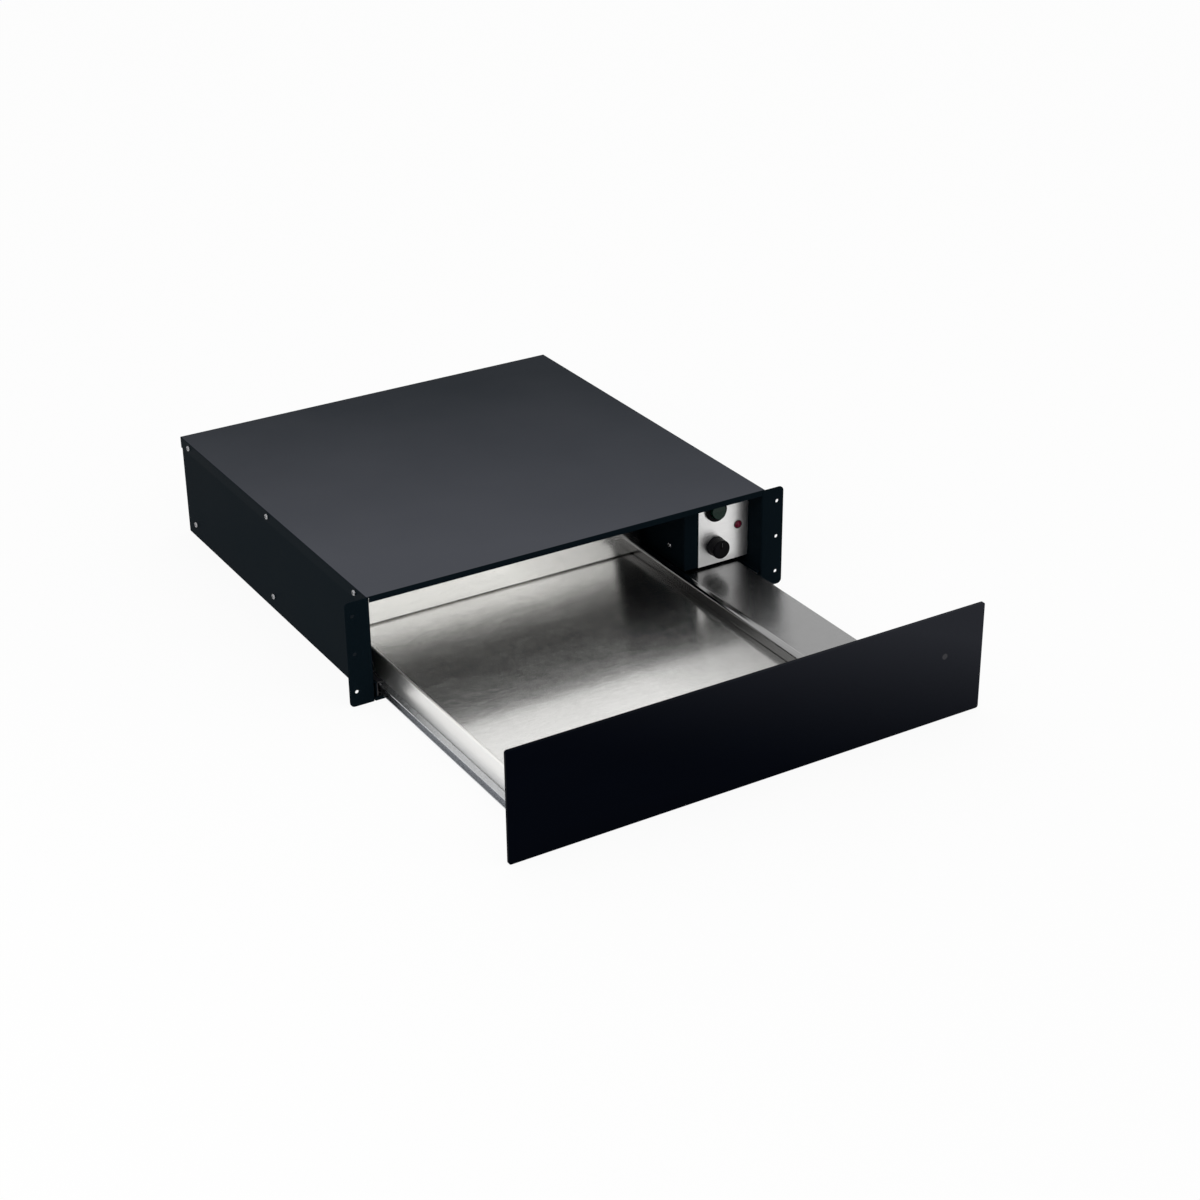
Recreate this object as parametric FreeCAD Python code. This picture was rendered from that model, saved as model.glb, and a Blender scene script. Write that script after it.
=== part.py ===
import FreeCAD, Part
import math
import os

# A built-in warming drawer, drawn fully open.
# Millimetres. The origin is the centre of the casing's underside, the front faces -Y, +Z is up.

# Sheet and bends
casing_sheet = 1.2
cover_sheet = 1.0
tray_sheet = 1.0
bend_inside = 0.8

# Fits and gaps
running_gap = 0.05
free_gap = 0.3
hole_gap = 0.15
cut_past = 1.0

# Casing
casing_height = 131.0
slide_space = 16.6
front_gap = 2.0
baffle_gap = 4.0
rear_bay_depth = 56.6
baffle_flange = 8.0
cover_side_lip = 15.0
cover_front_lip = 7.5
cover_rear_lip = 12.0
cover_corner = 0.9
base_lip = 24.0
sill_height = 4.0
rear_lip = 34.0

# Mounting flanges
flange_width = 27.0
flange_leg = 36.0
flange_corner = 6.0
flange_hole_radius = 2.25
flange_hole_from_edge = 9.0
flange_hole_from_end = 18.0

# Tray
tray_width = 490.0
tray_length = 462.0
drawer_travel = 350.0
floor_top = 32.0
shelf_drop = 0.5
shelf_width = 88.0
divider_width = 11.0
divider_bend = 2.2
side_rise = 14.0
side_bottom = 5.0
side_hem = 3.4
side_hem_depth = 6.0
hem_bend = 0.5
tray_flange = 12.0
wall_height = 63.0
wall_flange = 6.0
wall_bend = 1.6

# Drawer front
glass_thickness = 4.0
glass_side_overhang = 32.5
glass_lift = 0.4
glass_corner = 3.0
glass_chamfer = 0.6
pan_depth = 13.6
pan_side_inset = 22.5
pan_bottom_inset = 7.6
pan_top_inset = 11.4
pan_corner = 3.0
window_radius = 3.5
window_pan_radius = 6.0
bumper_radius = 5.0
bumper_from_edge = 6.0
bumper_from_end = 12.0

# Ball slides
slide_sheet = 1.2
slide_setback = 4.0
slide_end_gap = 4.0
slide_bottom = 1.6
slide_height = 20.0
slide_depth = 12.5
cabinet_member_reach = 8.0
drawer_member_reach = 8.5
drawer_member_height = 11.2
bracket_height = 22.0
ball_radius = 1.3
ball_pitch = 9.0
cage_sheet = 0.8
cage_margin = 5.0
cage_web_gap = 0.9
cage_bend = 0.4

# Controls
control_width = 72.8
control_box_margin = 19.4
control_recess = 28.0
control_box_gap = 3.5
control_box_sheet = 1.0
control_box_lip = 10.0
control_floor_lip = 28.0
control_box_frame = 7.0
panel_sheet = 1.2
panel_edge_gap = 1.2
knob_from_left = 23.7
knob_from_floor = 24.3
knob_radius = 12.4
knob_front_radius = 11.8
knob_length = 14.5
knob_panel_gap = 1.2
knob_rounding = 1.4
knob_recess_radius = 9.0
knob_bore_depth = 9.0
pointer_width = 2.6
pointer_height = 0.9
pointer_start = 1.0
switch_from_left = 24.0
switch_from_top = 23.5
bezel_radius = 14.4
bezel_thickness = 4.4
switch_barrel_radius = 12.6
switch_barrel_length = 22.0
switch_pocket_depth = 13.0
bezel_rounding = 1.6
rocker_pin_reach = 2.2
rocker_pin_end_gap = 0.4
rocker_radius = 9.4
rocker_side_gap = 0.9
rocker_tilt = 8.0
rocker_rise = 7.6
rocker_hollow = 1.5
rocker_back = 4.5
rocker_pin_radius = 1.2
lamp_from_left = 56.7
lamp_from_top = 50.6
lamp_radius = 4.0
lamp_rim_radius = 5.4
lamp_rim = 1.0
lamp_dome = 2.6
lamp_lens_edge = 0.8
lamp_length = 22.0

# Tab terminals
tab_thickness = 0.8
tab_width = 6.0
tab_length = 7.0
thermostat_tab_spacing = 14.0
switch_tab_spacing = 7.0
cutout_tab_spacing = 8.0

# Thermostat
thermostat_side = 28.0
thermostat_depth = 22.0
thermostat_rounding = 2.0
bushing_radius = 5.0
bushing_length = 4.6
nut_across = 7.6
nut_thickness = 2.2
stem_radius = 3.0
stem_flat = 1.0
stem_inside = 18.0
capillary_radius = 1.0
capillary_from_left = 11.0
capillary_height = 13.0
capillary_bend = 9.0
capillary_depth = 10.0
bulb_radius = 3.2
bulb_length = 70.0
bulb_start = 20.0
clip_width = 8.0
clip_wall = 2.0
clip_from_end = 14.0

# Fan and heater
housing_half = 72.0
impeller_gap = 5.0
impeller_depth = 15.0
impeller_back_gap = 4.0
impeller_disc = 1.0
impeller_rim = 4.0
blade_count = 24
blade_length = 14.0
blade_thickness = 1.0
blade_angle = 35.0
blade_inset = 1.5
hub_radius = 8.0
hub_depth = 10.0
shaft_radius = 2.5
shaft_nose = 1.0
fan_nut_across = 4.5
fan_nut_thickness = 3.0
element_radius = 3.2
element_margin = 4.0
element_to_impeller = 5.0
element_sweep = 320.0
element_leg = 22.0
stator_standoff = 8.6
stator_depth = 12.0
stator_half_width = 24.0
stator_rise = 20.0
stator_drop = 46.0
stator_limb = 10.0
stator_window_half = 12.0
stator_window_top = 16.0
stator_rounding = 3.0
rotor_radius = 12.0
coil_wall = 5.0
coil_rounding = 2.5
post_radius = 3.0
post_edge = 2.0
post_drop = 20.0
bearing_bridge = 1.5
bearing_foot = 2.0
bearing_foot_width = 5.0
bearing_hub_radius = 5.5
bearing_hub_length = 2.5
housing_hole_gap = 2.0
bearing_strip_half = 7.0
cutout_radius = 8.0
cutout_height = 9.0
cutout_offset = 52.0
cutout_rise = 38.0
cutout_ear = 1.0
cutout_ear_reach = 12.0
cutout_ear_half = 4.0

# Push latch
latch_from_side = 30.0
latch_height = 60.0
latch_body_half_width = 9.0
latch_body_half_height = 11.0
latch_body_depth = 42.0
latch_nose_radius = 6.0
latch_rounding = 2.0
latch_spring_room = 12.0
plunger_radius = 4.0
plunger_length = 24.0
plunger_travel = 3.0
plunger_rounding = 1.2
spring_wire = 0.4
spring_turns = 6
spring_side_gap = 0.4
striker_half = 10.0
striker_plate = 1.5
striker_boss_radius = 5.0
striker_boss = 4.0

# Rear connection
gland_from_right = 36.0
gland_height = 85.0
gland_bore_radius = 4.2
gland_thread_radius = 8.0
gland_hex = 11.0
gland_hex_length = 5.0
gland_dome_radius = 8.6
gland_dome_length = 9.0
gland_dome_rounding = 2.5
gland_thread_extra = 2.0
gland_nut_thickness = 4.0
block_width = 40.0
block_depth = 22.0
block_height = 18.0
block_from_rear = 9.0
block_ways = 3
block_from_right = 18.0
block_screw_radius = 3.0
block_screw_depth = 4.0
block_wire_drop = 4.0
block_wire_depth = 5.0
wire_radius = 1.3
wire_bend = 12.0
wire_hole_radius = 5.0
wire_from_middle = 6.0
wire_turn_back = 50.0
wire_turn_pitch = 14.0
wire_slant = 20.0
motor_wire_slant = 24.0

# Screws
screw_radius = 1.9
screw_head_radius = 3.5
screw_head = 2.2
screw_rounding = 1.7
screw_recess = 1.5
screw_recess_half = 1.75
screw_blade_half = 0.5
side_screw_length = 4.2
box_screw_length = 4.0
front_screw_length = 5.0
side_screw_from_front = 30.0
side_screw_from_rear = 26.0
side_screw_from_top = 7.0
side_screw_height = 18.0
rear_screw_from_box = 30.6
rear_screw_from_top = 6.0
front_screw_height = 25.0
front_screw_spacing = 122.5
box_screw_height = 22.5
box_screw_first = 33.0
box_screw_pitch = 200.0
box_screw_count = 3

# Vents
slot_width = 4.0
rear_slot_pitch = 11.0
rear_slot_count = 9
rear_slot_length = 56.0
intake_slot_pitch = 9.0
intake_radius = 38.0
outlet_slot_count = 6
outlet_slot_pitch = 9.0
outlet_slot_length = 44.0
outlet_from_fan = 100.0
base_slot_count = 7
base_slot_length = 60.0
base_slot_pitch = 12.0
base_slot_from_rear = 44.0

Vector = FreeCAD.Vector
X = Vector(1, 0, 0)
Y = Vector(0, 1, 0)
Z = Vector(0, 0, 1)

# Places across the width
tray_half = tray_width / 2
inner_half = tray_half + slide_space
side_inner = inner_half + casing_sheet
side_outer = side_inner + casing_sheet
casing_half = side_outer + cover_sheet
flange_half = casing_half + flange_width
glass_half = casing_half + glass_side_overhang
pan_half = glass_half - pan_side_inset
shelf_left = tray_half - shelf_width
divider_left = shelf_left - divider_width
panel_left = inner_half - control_width
box_left = panel_left - control_box_margin
fan_x = (box_left - inner_half) / 2
window_x = panel_left + lamp_from_left

# Places along the depth
casing_depth = (tray_length + wall_flange + baffle_gap + rear_bay_depth + 2 * casing_sheet
                + cover_sheet - front_gap)
front_y = -casing_depth / 2
rear_y = casing_depth / 2
rear_panel_y = rear_y - cover_sheet
rear_inside_y = rear_panel_y - casing_sheet
drawer_y = front_y - front_gap - drawer_travel
wall_y = drawer_y + tray_length
tray_end_y = wall_y + wall_flange
baffle_y = tray_end_y + drawer_travel + baffle_gap
baffle_back_y = baffle_y + casing_sheet
panel_y = front_y + control_recess
panel_back_y = panel_y + panel_sheet
pan_y = drawer_y - tray_sheet - pan_depth
glass_y = pan_y - glass_thickness

# Places up the height
cover_under = casing_height - cover_sheet
shelf_top = floor_top - shelf_drop
side_top = floor_top + side_rise
box_bottom = shelf_top + control_box_gap
glass_bottom = glass_lift
glass_top = casing_height + glass_lift
pan_bottom = glass_bottom + pan_bottom_inset
pan_top = glass_top - pan_top_inset
window_z = cover_under - lamp_from_top
baffle_top = cover_under - free_gap
housing_bottom = 2 * casing_sheet
housing_top = baffle_top - casing_sheet
fan_z = (housing_bottom + housing_top) / 2
slide_middle = slide_bottom + slide_height / 2


# Basic shapes
def box(x0, y0, z0, x1, y1, z1):
    return Part.makeBox(x1 - x0, y1 - y0, z1 - z0, Vector(x0, y0, z0))


def rod(radius, start, end):
    return Part.makeCylinder(radius, (end - start).Length, start, end - start)


def lift(axis, a, b, along):
    """The point (a, b) of a section square to the axis, in space."""
    if axis == "x":
        return Vector(along, a, b)
    if axis == "y":
        return Vector(a, along, b)
    return Vector(a, b, along)


def extruded(axis, edges, start, end):
    direction = {"x": X, "y": Y, "z": Z}[axis]
    return Part.Face(Part.Wire(edges)).extrude(direction * (end - start))


def prism(axis, points, start, end):
    corners = [lift(axis, a, b, start) for a, b in points]
    return extruded(axis, Part.makePolygon(corners + corners[:1]).Edges, start, end)


def unit(a, b):
    size = math.hypot(a, b)
    return a / size, b / size


def bend_points(before, corner, after, thickness, inside):
    """Start, middle and end of both arcs where a folded sheet turns a corner."""
    d0 = unit(corner[0] - before[0], corner[1] - before[1])
    d1 = unit(after[0] - corner[0], after[1] - corner[1])
    turn = d0[0] * d1[1] - d0[1] * d1[0]
    side = 1 if turn > 0 else -1
    radius = inside + thickness if side > 0 else inside
    reach = radius * math.tan(math.acos(d0[0] * d1[0] + d0[1] * d1[1]) / 2)
    n0 = (-d0[1], d0[0])
    n1 = (-d1[1], d1[0])
    start = (corner[0] - d0[0] * reach, corner[1] - d0[1] * reach)
    end = (corner[0] + d1[0] * reach, corner[1] + d1[1] * reach)
    centre = (start[0] + n0[0] * side * radius, start[1] + n0[1] * side * radius)
    out = unit(corner[0] - centre[0], corner[1] - centre[1])
    far = radius - side * thickness
    near_arc = [start, (centre[0] + out[0] * radius, centre[1] + out[1] * radius), end]
    far_arc = [(start[0] + n0[0] * thickness, start[1] + n0[1] * thickness),
               (centre[0] + out[0] * far, centre[1] + out[1] * far),
               (end[0] + n1[0] * thickness, end[1] + n1[1] * thickness)]
    return near_arc, far_arc


def bent_sheet(axis, points, thickness, start, end, inside=bend_inside):
    """A folded sheet. The points run along one face, and the metal lies to their left."""
    first = unit(points[1][0] - points[0][0], points[1][1] - points[0][1])
    last = unit(points[-1][0] - points[-2][0], points[-1][1] - points[-2][1])
    near = [[points[0]]]
    far = [[(points[0][0] - first[1] * thickness, points[0][1] + first[0] * thickness)]]
    for before, corner, after in zip(points, points[1:], points[2:]):
        near_arc, far_arc = bend_points(before, corner, after, thickness, inside)
        near.append(near_arc)
        far.append(far_arc)
    near.append([points[-1]])
    far.append([(points[-1][0] - last[1] * thickness, points[-1][1] + last[0] * thickness)])
    loop = near + [arc[::-1] for arc in far[::-1]]
    edges = []
    for part, following in zip(loop, loop[1:] + loop[:1]):
        if len(part) == 3:
            edges.append(Part.Arc(*[lift(axis, a, b, start) for a, b in part]).toShape())
        edges.append(Part.makeLine(lift(axis, *part[-1], start), lift(axis, *following[0], start)))
    return extruded(axis, edges, start, end)


def fused(shapes):
    return shapes[0].fuse(shapes[1:]).removeSplitter()


def mirrored(shape):
    return shape.mirror(Vector(0, 0, 0), X)


def both_sides(name, shape):
    """The right-hand piece and its mirror image."""
    return {name + "_right": shape, name + "_left": mirrored(shape)}


def edges_along(shape, axis, test):
    """Straight edges along the axis whose middle passes the test."""
    found = []
    for edge in shape.Edges:
        if len(edge.Vertexes) == 2 and isinstance(edge.Curve, Part.Line):
            run = edge.Vertexes[1].Point - edge.Vertexes[0].Point
            if abs(run.dot(axis)) > 0.999 * run.Length and test(edge.CenterOfMass):
                found.append(edge)
    return found


def tube(points, radius, bend):
    """A round tube along straight runs joined by arcs."""
    edges = []
    start = points[0]
    for before, corner, after in zip(points, points[1:], points[2:]):
        d0 = (corner - before).normalize()
        d1 = (after - corner).normalize()
        half = d0.getAngle(d1) / 2
        reach = bend * math.tan(half)
        middle = corner + (d1 - d0).normalize() * (bend / math.cos(half) - bend)
        arc_start = corner - d0 * reach
        arc_end = corner + d1 * reach
        edges.append(Part.makeLine(start, arc_start))
        edges.append(Part.Arc(arc_start, middle, arc_end).toShape())
        start = arc_end
    edges.append(Part.makeLine(start, points[-1]))
    ring = Part.Wire(Part.makeCircle(radius, points[0], points[1] - points[0]))
    return Part.Wire(edges).makePipeShell([ring], True, False)


def around(centre, half):
    """A box with its middle at the centre."""
    low = centre - half
    high = centre + half
    return box(low.x, low.y, low.z, high.x, high.y, high.z)


def tab(base):
    """A flat tab terminal that stands backwards from its base."""
    half = Vector(tab_width / 2, (tab_length + cut_past) / 2, tab_thickness / 2)
    return around(base + Y * (tab_length - cut_past) * 0.5, half)


def row(count, pitch, middle=0.0):
    """Evenly spaced places about the middle."""
    return [middle + (i - (count - 1) / 2) * pitch for i in range(count)]


def slots(centre, run, through, count, pitch, length):
    """A row of round-ended slots along X. Each one runs along run, and is cut through along through."""
    cuts = []
    half = (length - slot_width) / 2
    depth = 2 * casing_sheet
    for x in row(count, pitch):
        middle = centre + X * x
        cuts.append(around(middle, X * (slot_width / 2) + run * half + through * depth))
        for end in (-half, half):
            tip = middle + run * end
            cuts.append(rod(slot_width / 2, tip - through * depth, tip + through * depth))
    return cuts


def edges_at(shape, y):
    """The edges that lie in the plane at y."""
    return [edge for edge in shape.Edges if edge.BoundBox.YMax - edge.BoundBox.YMin < 0.001
            and abs(edge.CenterOfMass.y - y) < 0.001]


def hexagon(across_half, start, end):
    """A six-sided rod along Y, with its flats across_half from the axis."""
    radius = across_half / math.cos(math.pi / 6)
    turns = [math.pi * i / 3 for i in range(6)]
    corners = [(start.x + radius * math.cos(turn), start.z + radius * math.sin(turn)) for turn in turns]
    return prism("y", corners, start.y, end.y)


# Screws
def pan_screw(length):
    """A cross-recessed pan head screw with its seat at the origin and its head up."""
    head = Part.makeCylinder(screw_head_radius, screw_head)
    rim = [edge for edge in head.Edges if edge.CenterOfMass.z > screw_head - 0.001]
    head = head.makeFillet(min(screw_rounding, 0.9 * screw_head), rim)
    middle = Z * (screw_head - screw_recess / 2)
    cross = [around(middle, Vector(screw_recess_half, screw_blade_half, screw_recess / 2)),
             around(middle, Vector(screw_blade_half, screw_recess_half, screw_recess / 2))]
    shank = rod(screw_radius, Z * -length, Vector(0, 0, 0))
    return fused([head, shank]).cut(cross)


def placed(shape, at, out):
    copy = shape.copy()
    copy.Placement = FreeCAD.Placement(at, FreeCAD.Rotation(Z, out))
    return copy


side_screw_y = [front_y + side_screw_from_front, 0.0, rear_y - side_screw_from_rear]
side_screw_z = [casing_height - side_screw_from_top, side_screw_height]
rear_screw_x = row(3, box_left + rear_screw_from_box)
rear_screw_z = casing_height - rear_screw_from_top


def right_holes():
    """Clearance holes for the side screws of the right side."""
    inside = inner_half - cut_past
    outside = casing_half + cut_past
    return [rod(screw_radius + hole_gap, Vector(inside, y, z), Vector(outside, y, z))
            for y in side_screw_y for z in side_screw_z]


def side_holes():
    right = right_holes()
    return right + [mirrored(hole) for hole in right]


def rear_holes():
    return [rod(screw_radius + hole_gap, Vector(x, rear_inside_y - cut_past, rear_screw_z),
                Vector(x, rear_y + cut_past, rear_screw_z)) for x in rear_screw_x]


def casing_screws():
    screw = pan_screw(side_screw_length)
    screws = []
    for side in (-1, 1):
        for y in side_screw_y:
            screws.append(placed(screw, Vector(side * casing_half, y, side_screw_z[0]), X * side))
            screws.append(placed(screw, Vector(side * side_outer, y, side_screw_z[1]), X * side))
    return {"casing_screws": Part.makeCompound(screws)}


def rear_screws():
    screw = pan_screw(side_screw_length)
    screws = [placed(screw, Vector(x, rear_y, rear_screw_z), Y) for x in rear_screw_x]
    return {"rear_screws": Part.makeCompound(screws)}


# Casing
def base_plate():
    outline = [(-side_inner, base_lip), (-side_inner, 0), (side_inner, 0), (side_inner, base_lip)]
    lips = bent_sheet("y", outline,
                      casing_sheet, front_y + flange_leg + free_gap, rear_panel_y - rear_lip - free_gap)
    half = inner_half - bend_inside
    ends = box(-half, front_y, 0, half, rear_inside_y, casing_sheet)
    sill = box(-half, front_y, 0, half, front_y + casing_sheet, sill_height)
    vents = slots(Vector(fan_x, rear_inside_y - base_slot_from_rear, 0), Y, Z, base_slot_count,
                  base_slot_pitch, base_slot_length)
    return {"base_plate": fused([ends, lips, sill]).cut(vents + side_holes())}


def top_cover():
    top = casing_height
    sheet = box(-casing_half, front_y, cover_under, casing_half, rear_y, top)
    side_lip = box(side_outer, front_y + casing_sheet, top - cover_side_lip, casing_half, rear_y, top)
    front_lip = box(-inner_half, front_y, top - cover_front_lip, inner_half, front_y + cover_sheet, top)
    back_lip = box(-casing_half, rear_panel_y, top - cover_rear_lip, casing_half, rear_y, top)
    cover = fused([sheet, side_lip, mirrored(side_lip), front_lip, back_lip])
    rounding = min(cover_corner, 0.95 * cover_sheet)
    long_edges = edges_along(cover, Y, lambda c: abs(c.x) > casing_half - 0.01 and c.z > cover_under)
    cross_edges = edges_along(cover, X, lambda c: abs(c.y) > rear_y - 0.01 and c.z > cover_under)
    cover = cover.makeFillet(rounding, long_edges + cross_edges)
    return {"top_cover": cover.cut(side_holes() + rear_holes())}


def side_panels():
    start = front_y + casing_sheet + bend_inside
    panel = box(side_inner, start, 0, side_outer, rear_panel_y, cover_under)
    return both_sides("side_panel", panel.cut(right_holes()))


def rear_panel():
    sheet = bent_sheet("z", [(side_inner, rear_panel_y - rear_lip), (side_inner, rear_panel_y),
                             (-side_inner, rear_panel_y), (-side_inner, rear_panel_y - rear_lip)],
                       casing_sheet, 0, cover_under)
    middle = Vector(fan_x, rear_panel_y, fan_z)
    vents = slots(middle, Z, Y, rear_slot_count, rear_slot_pitch, rear_slot_length)
    inlet = rod(gland_thread_radius, at_gland(rear_inside_y - cut_past), at_gland(rear_y + cut_past))
    return {"rear_panel": sheet.cut(vents + [inlet] + rear_holes() + side_holes())}


def mounting_flanges():
    outline = [(inner_half, front_y + flange_leg), (inner_half, front_y), (flange_half, front_y)]
    angle = bent_sheet("z", outline, casing_sheet, 0, cover_under)
    angle = angle.makeFillet(flange_corner, edges_along(angle, Y, lambda c: c.x > flange_half - 0.01))
    x = flange_half - flange_hole_from_edge
    heights = (flange_hole_from_end, cover_under / 2, cover_under - flange_hole_from_end)
    near = front_y - cut_past
    far = front_y + 2 * casing_sheet
    holes = [rod(flange_hole_radius, Vector(x, near, z), Vector(x, far, z)) for z in heights]
    return both_sides("mounting_flange", angle.cut(holes + right_holes()))


def intake_slots():
    """Upright slots across a round field in front of the impeller."""
    cuts = []
    for x in row(int(2 * intake_radius / intake_slot_pitch), intake_slot_pitch):
        length = max(2 * math.sqrt(intake_radius ** 2 - x ** 2), 2 * slot_width)
        cuts += slots(Vector(fan_x + x, baffle_y, fan_z), Z, Y, 1, intake_slot_pitch, length)
    return cuts


def rear_baffle():
    back = baffle_y + baffle_flange
    sheet = bent_sheet("x", [(back, baffle_top), (baffle_y, baffle_top), (baffle_y, casing_sheet),
                             (back, casing_sheet)], casing_sheet, bend_inside - inner_half, box_left)
    cuts = intake_slots()
    for side in (-1, 1):
        cuts += slots(Vector(fan_x + side * outlet_from_fan, baffle_y, fan_z), Z, Y, outlet_slot_count,
                      outlet_slot_pitch, outlet_slot_length)
    far = baffle_back_y + cut_past
    cuts.append(rod(latch_nose_radius + hole_gap, at_latch(baffle_y - cut_past), at_latch(far)))
    clips = [bulb_clip(bulb_right - clip_from_end), bulb_clip(bulb_right - bulb_length + clip_from_end)]
    return {"rear_baffle": fused([sheet.cut(cuts)] + clips)}


def bulb_clip(x):
    """A saddle on the back of the baffle that holds the sensing bulb."""
    half = bulb_radius + hole_gap + clip_wall
    block = box(x - clip_width / 2, baffle_back_y, capillary_z - half,
                x + clip_width / 2, capillary_y + half, capillary_z + half)
    return block.cut(rod(bulb_radius + hole_gap, Vector(x - clip_width, capillary_y, capillary_z),
                         Vector(x + clip_width, capillary_y, capillary_z)))


# Ball slides, made for the right-hand side
cabinet_back = tray_half + slide_depth
cabinet_tip = cabinet_back - cabinet_member_reach
member_tip = tray_half + drawer_member_reach
member_bottom = slide_middle - drawer_member_height / 2
member_top = slide_middle + drawer_member_height / 2
slide_length = tray_length + wall_flange - slide_setback - slide_end_gap
slide_start = front_y - front_gap + slide_setback
cage_length = slide_length - drawer_travel - 2 * cage_margin
cage_start = slide_start + cage_margin
ball_x = (cabinet_tip + member_tip) / 2
upper_ball_z = (member_top + slide_bottom + slide_height - slide_sheet) / 2
lower_ball_z = (member_bottom + slide_bottom + slide_sheet) / 2


def slide_brackets():
    top = casing_sheet + bracket_height
    tip = inner_half - bend_inside
    outline = [(tip, top), (cabinet_back, top), (cabinet_back, casing_sheet), (tip, casing_sheet)]
    bracket = bent_sheet("y", outline, casing_sheet, slide_start, slide_start + slide_length)
    return both_sides("slide_bracket", bracket)


def cabinet_members():
    top = slide_bottom + slide_height
    outline = [(cabinet_tip, slide_bottom), (cabinet_back, slide_bottom), (cabinet_back, top),
               (cabinet_tip, top)]
    member = bent_sheet("y", outline, slide_sheet, slide_start, slide_start + slide_length)
    return both_sides("slide_cabinet_member", member)


def drawer_members():
    start = drawer_y + slide_setback
    outline = [(member_tip, member_top), (tray_half, member_top), (tray_half, member_bottom),
               (member_tip, member_bottom)]
    member = bent_sheet("y", outline, slide_sheet, start, start + slide_length)
    return both_sides("slide_drawer_member", member)


def ball_places():
    along = row(int(cage_length / ball_pitch), ball_pitch, cage_start + cage_length / 2)
    return [Vector(ball_x, y, z) for y in along for z in (lower_ball_z, upper_ball_z)]


def ball_cages():
    web = cabinet_back - slide_sheet - cage_web_gap
    bottom = lower_ball_z - cage_sheet / 2
    top = upper_ball_z + cage_sheet / 2
    outline = [(cabinet_tip, bottom), (web, bottom), (web, top), (cabinet_tip, top)]
    cage = bent_sheet("y", outline, cage_sheet, cage_start, cage_start + cage_length, cage_bend)
    holes = [rod(ball_radius + hole_gap, place - Z * cage_sheet, place + Z * cage_sheet)
             for place in ball_places()]
    return both_sides("ball_cage", cage.cut(holes))


def slide_balls():
    balls = Part.makeCompound([Part.makeSphere(ball_radius, place) for place in ball_places()])
    return both_sides("slide_balls", balls)


# Tray
def tray_floor():
    left = -tray_half + tray_sheet
    low = floor_top - tray_flange
    sheet = bent_sheet("y", [(divider_left, low), (divider_left, floor_top), (left, floor_top), (left, low)],
                       tray_sheet, drawer_y, tray_end_y)
    front = box(left + tray_sheet, drawer_y, low, divider_left - tray_sheet, drawer_y + tray_sheet,
                floor_top - tray_sheet)
    back = front.translated(Vector(0, tray_end_y - drawer_y - tray_sheet, 0))
    return {"tray_floor": fused([sheet, front, back]).cut(front_screw_holes())}


def tray_side():
    hem = -tray_half + side_hem
    sheet = bent_sheet("y", [(hem, side_top - side_hem_depth), (hem, side_top), (-tray_half, side_top),
                             (-tray_half, side_bottom), (-tray_half + tray_flange, side_bottom)],
                       tray_sheet, drawer_y, tray_end_y, hem_bend)
    return {"tray_side_left": sheet}


def divider_rail():
    low = floor_top - tray_flange
    rail = bent_sheet("y", [(shelf_left, low), (shelf_left, side_top), (divider_left, side_top),
                            (divider_left, low)], tray_sheet, drawer_y, wall_y, divider_bend)
    return {"divider_rail": rail}


def side_shelf():
    low = floor_top - tray_flange
    sheet = bent_sheet("y", [(tray_half - tray_flange, side_bottom), (tray_half, side_bottom),
                             (tray_half, shelf_top), (shelf_left, shelf_top), (shelf_left, low)],
                       tray_sheet, drawer_y, tray_end_y)
    front = box(shelf_left + tray_sheet, drawer_y, low, tray_half - tray_sheet, drawer_y + tray_sheet,
                shelf_top - tray_sheet)
    return {"side_shelf": fused([sheet, front]).cut(front_screw_holes())}


def tray_rear_wall():
    top = floor_top + wall_height
    wall = bent_sheet("x", [(tray_end_y, top), (wall_y, top), (wall_y, floor_top), (tray_end_y, floor_top)],
                      tray_sheet, -tray_half + side_hem, shelf_left, wall_bend)
    return {"tray_rear_wall": wall}


def latch_striker():
    back = wall_y + tray_sheet
    plate = box(latch_x - striker_half, back, latch_height - striker_half,
                latch_x + striker_half, back + striker_plate, latch_height + striker_half)
    boss = rod(striker_boss_radius, Vector(latch_x, back + striker_plate, latch_height),
               Vector(latch_x, back + striker_plate + striker_boss, latch_height))
    return {"latch_striker": fused([plate, boss])}


# Drawer front
front_screw_x = row(3, front_screw_spacing, (divider_left - tray_half) / 2) + [shelf_left + shelf_width / 2]


def front_screw_holes():
    return [rod(screw_radius + hole_gap, Vector(x, drawer_y - 2 * tray_sheet, front_screw_height),
                Vector(x, drawer_y + 2 * tray_sheet, front_screw_height)) for x in front_screw_x]


def front_screws():
    screw = pan_screw(front_screw_length)
    seat = drawer_y + tray_sheet
    screws = [placed(screw, Vector(x, seat, front_screw_height), Y) for x in front_screw_x]
    return {"front_screws": Part.makeCompound(screws)}


def window_hole(radius, start, end):
    return rod(radius, Vector(window_x, start, window_z), Vector(window_x, end, window_z))


def inner_front_panel():
    panel = box(-pan_half, drawer_y - tray_sheet, pan_bottom, pan_half, drawer_y, pan_top)
    panel = panel.makeFillet(pan_corner, edges_along(panel, Y, lambda c: True))
    window = window_hole(window_pan_radius, drawer_y - 2 * tray_sheet, drawer_y + tray_sheet)
    return {"inner_front_panel": panel.cut(front_screw_holes() + [window])}


def front_pan():
    outer = box(-pan_half, pan_y, pan_bottom, pan_half, drawer_y - tray_sheet, pan_top)
    outer = outer.makeFillet(pan_corner, edges_along(outer, Y, lambda c: True))
    inner = box(-pan_half + tray_sheet, pan_y + tray_sheet, pan_bottom + tray_sheet,
                pan_half - tray_sheet, drawer_y, pan_top - tray_sheet)
    inner = inner.makeFillet(pan_corner - tray_sheet, edges_along(inner, Y, lambda c: True))
    window = window_hole(window_pan_radius, pan_y - cut_past, pan_y + 2 * tray_sheet)
    return {"front_pan": outer.cut([inner, window])}


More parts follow.
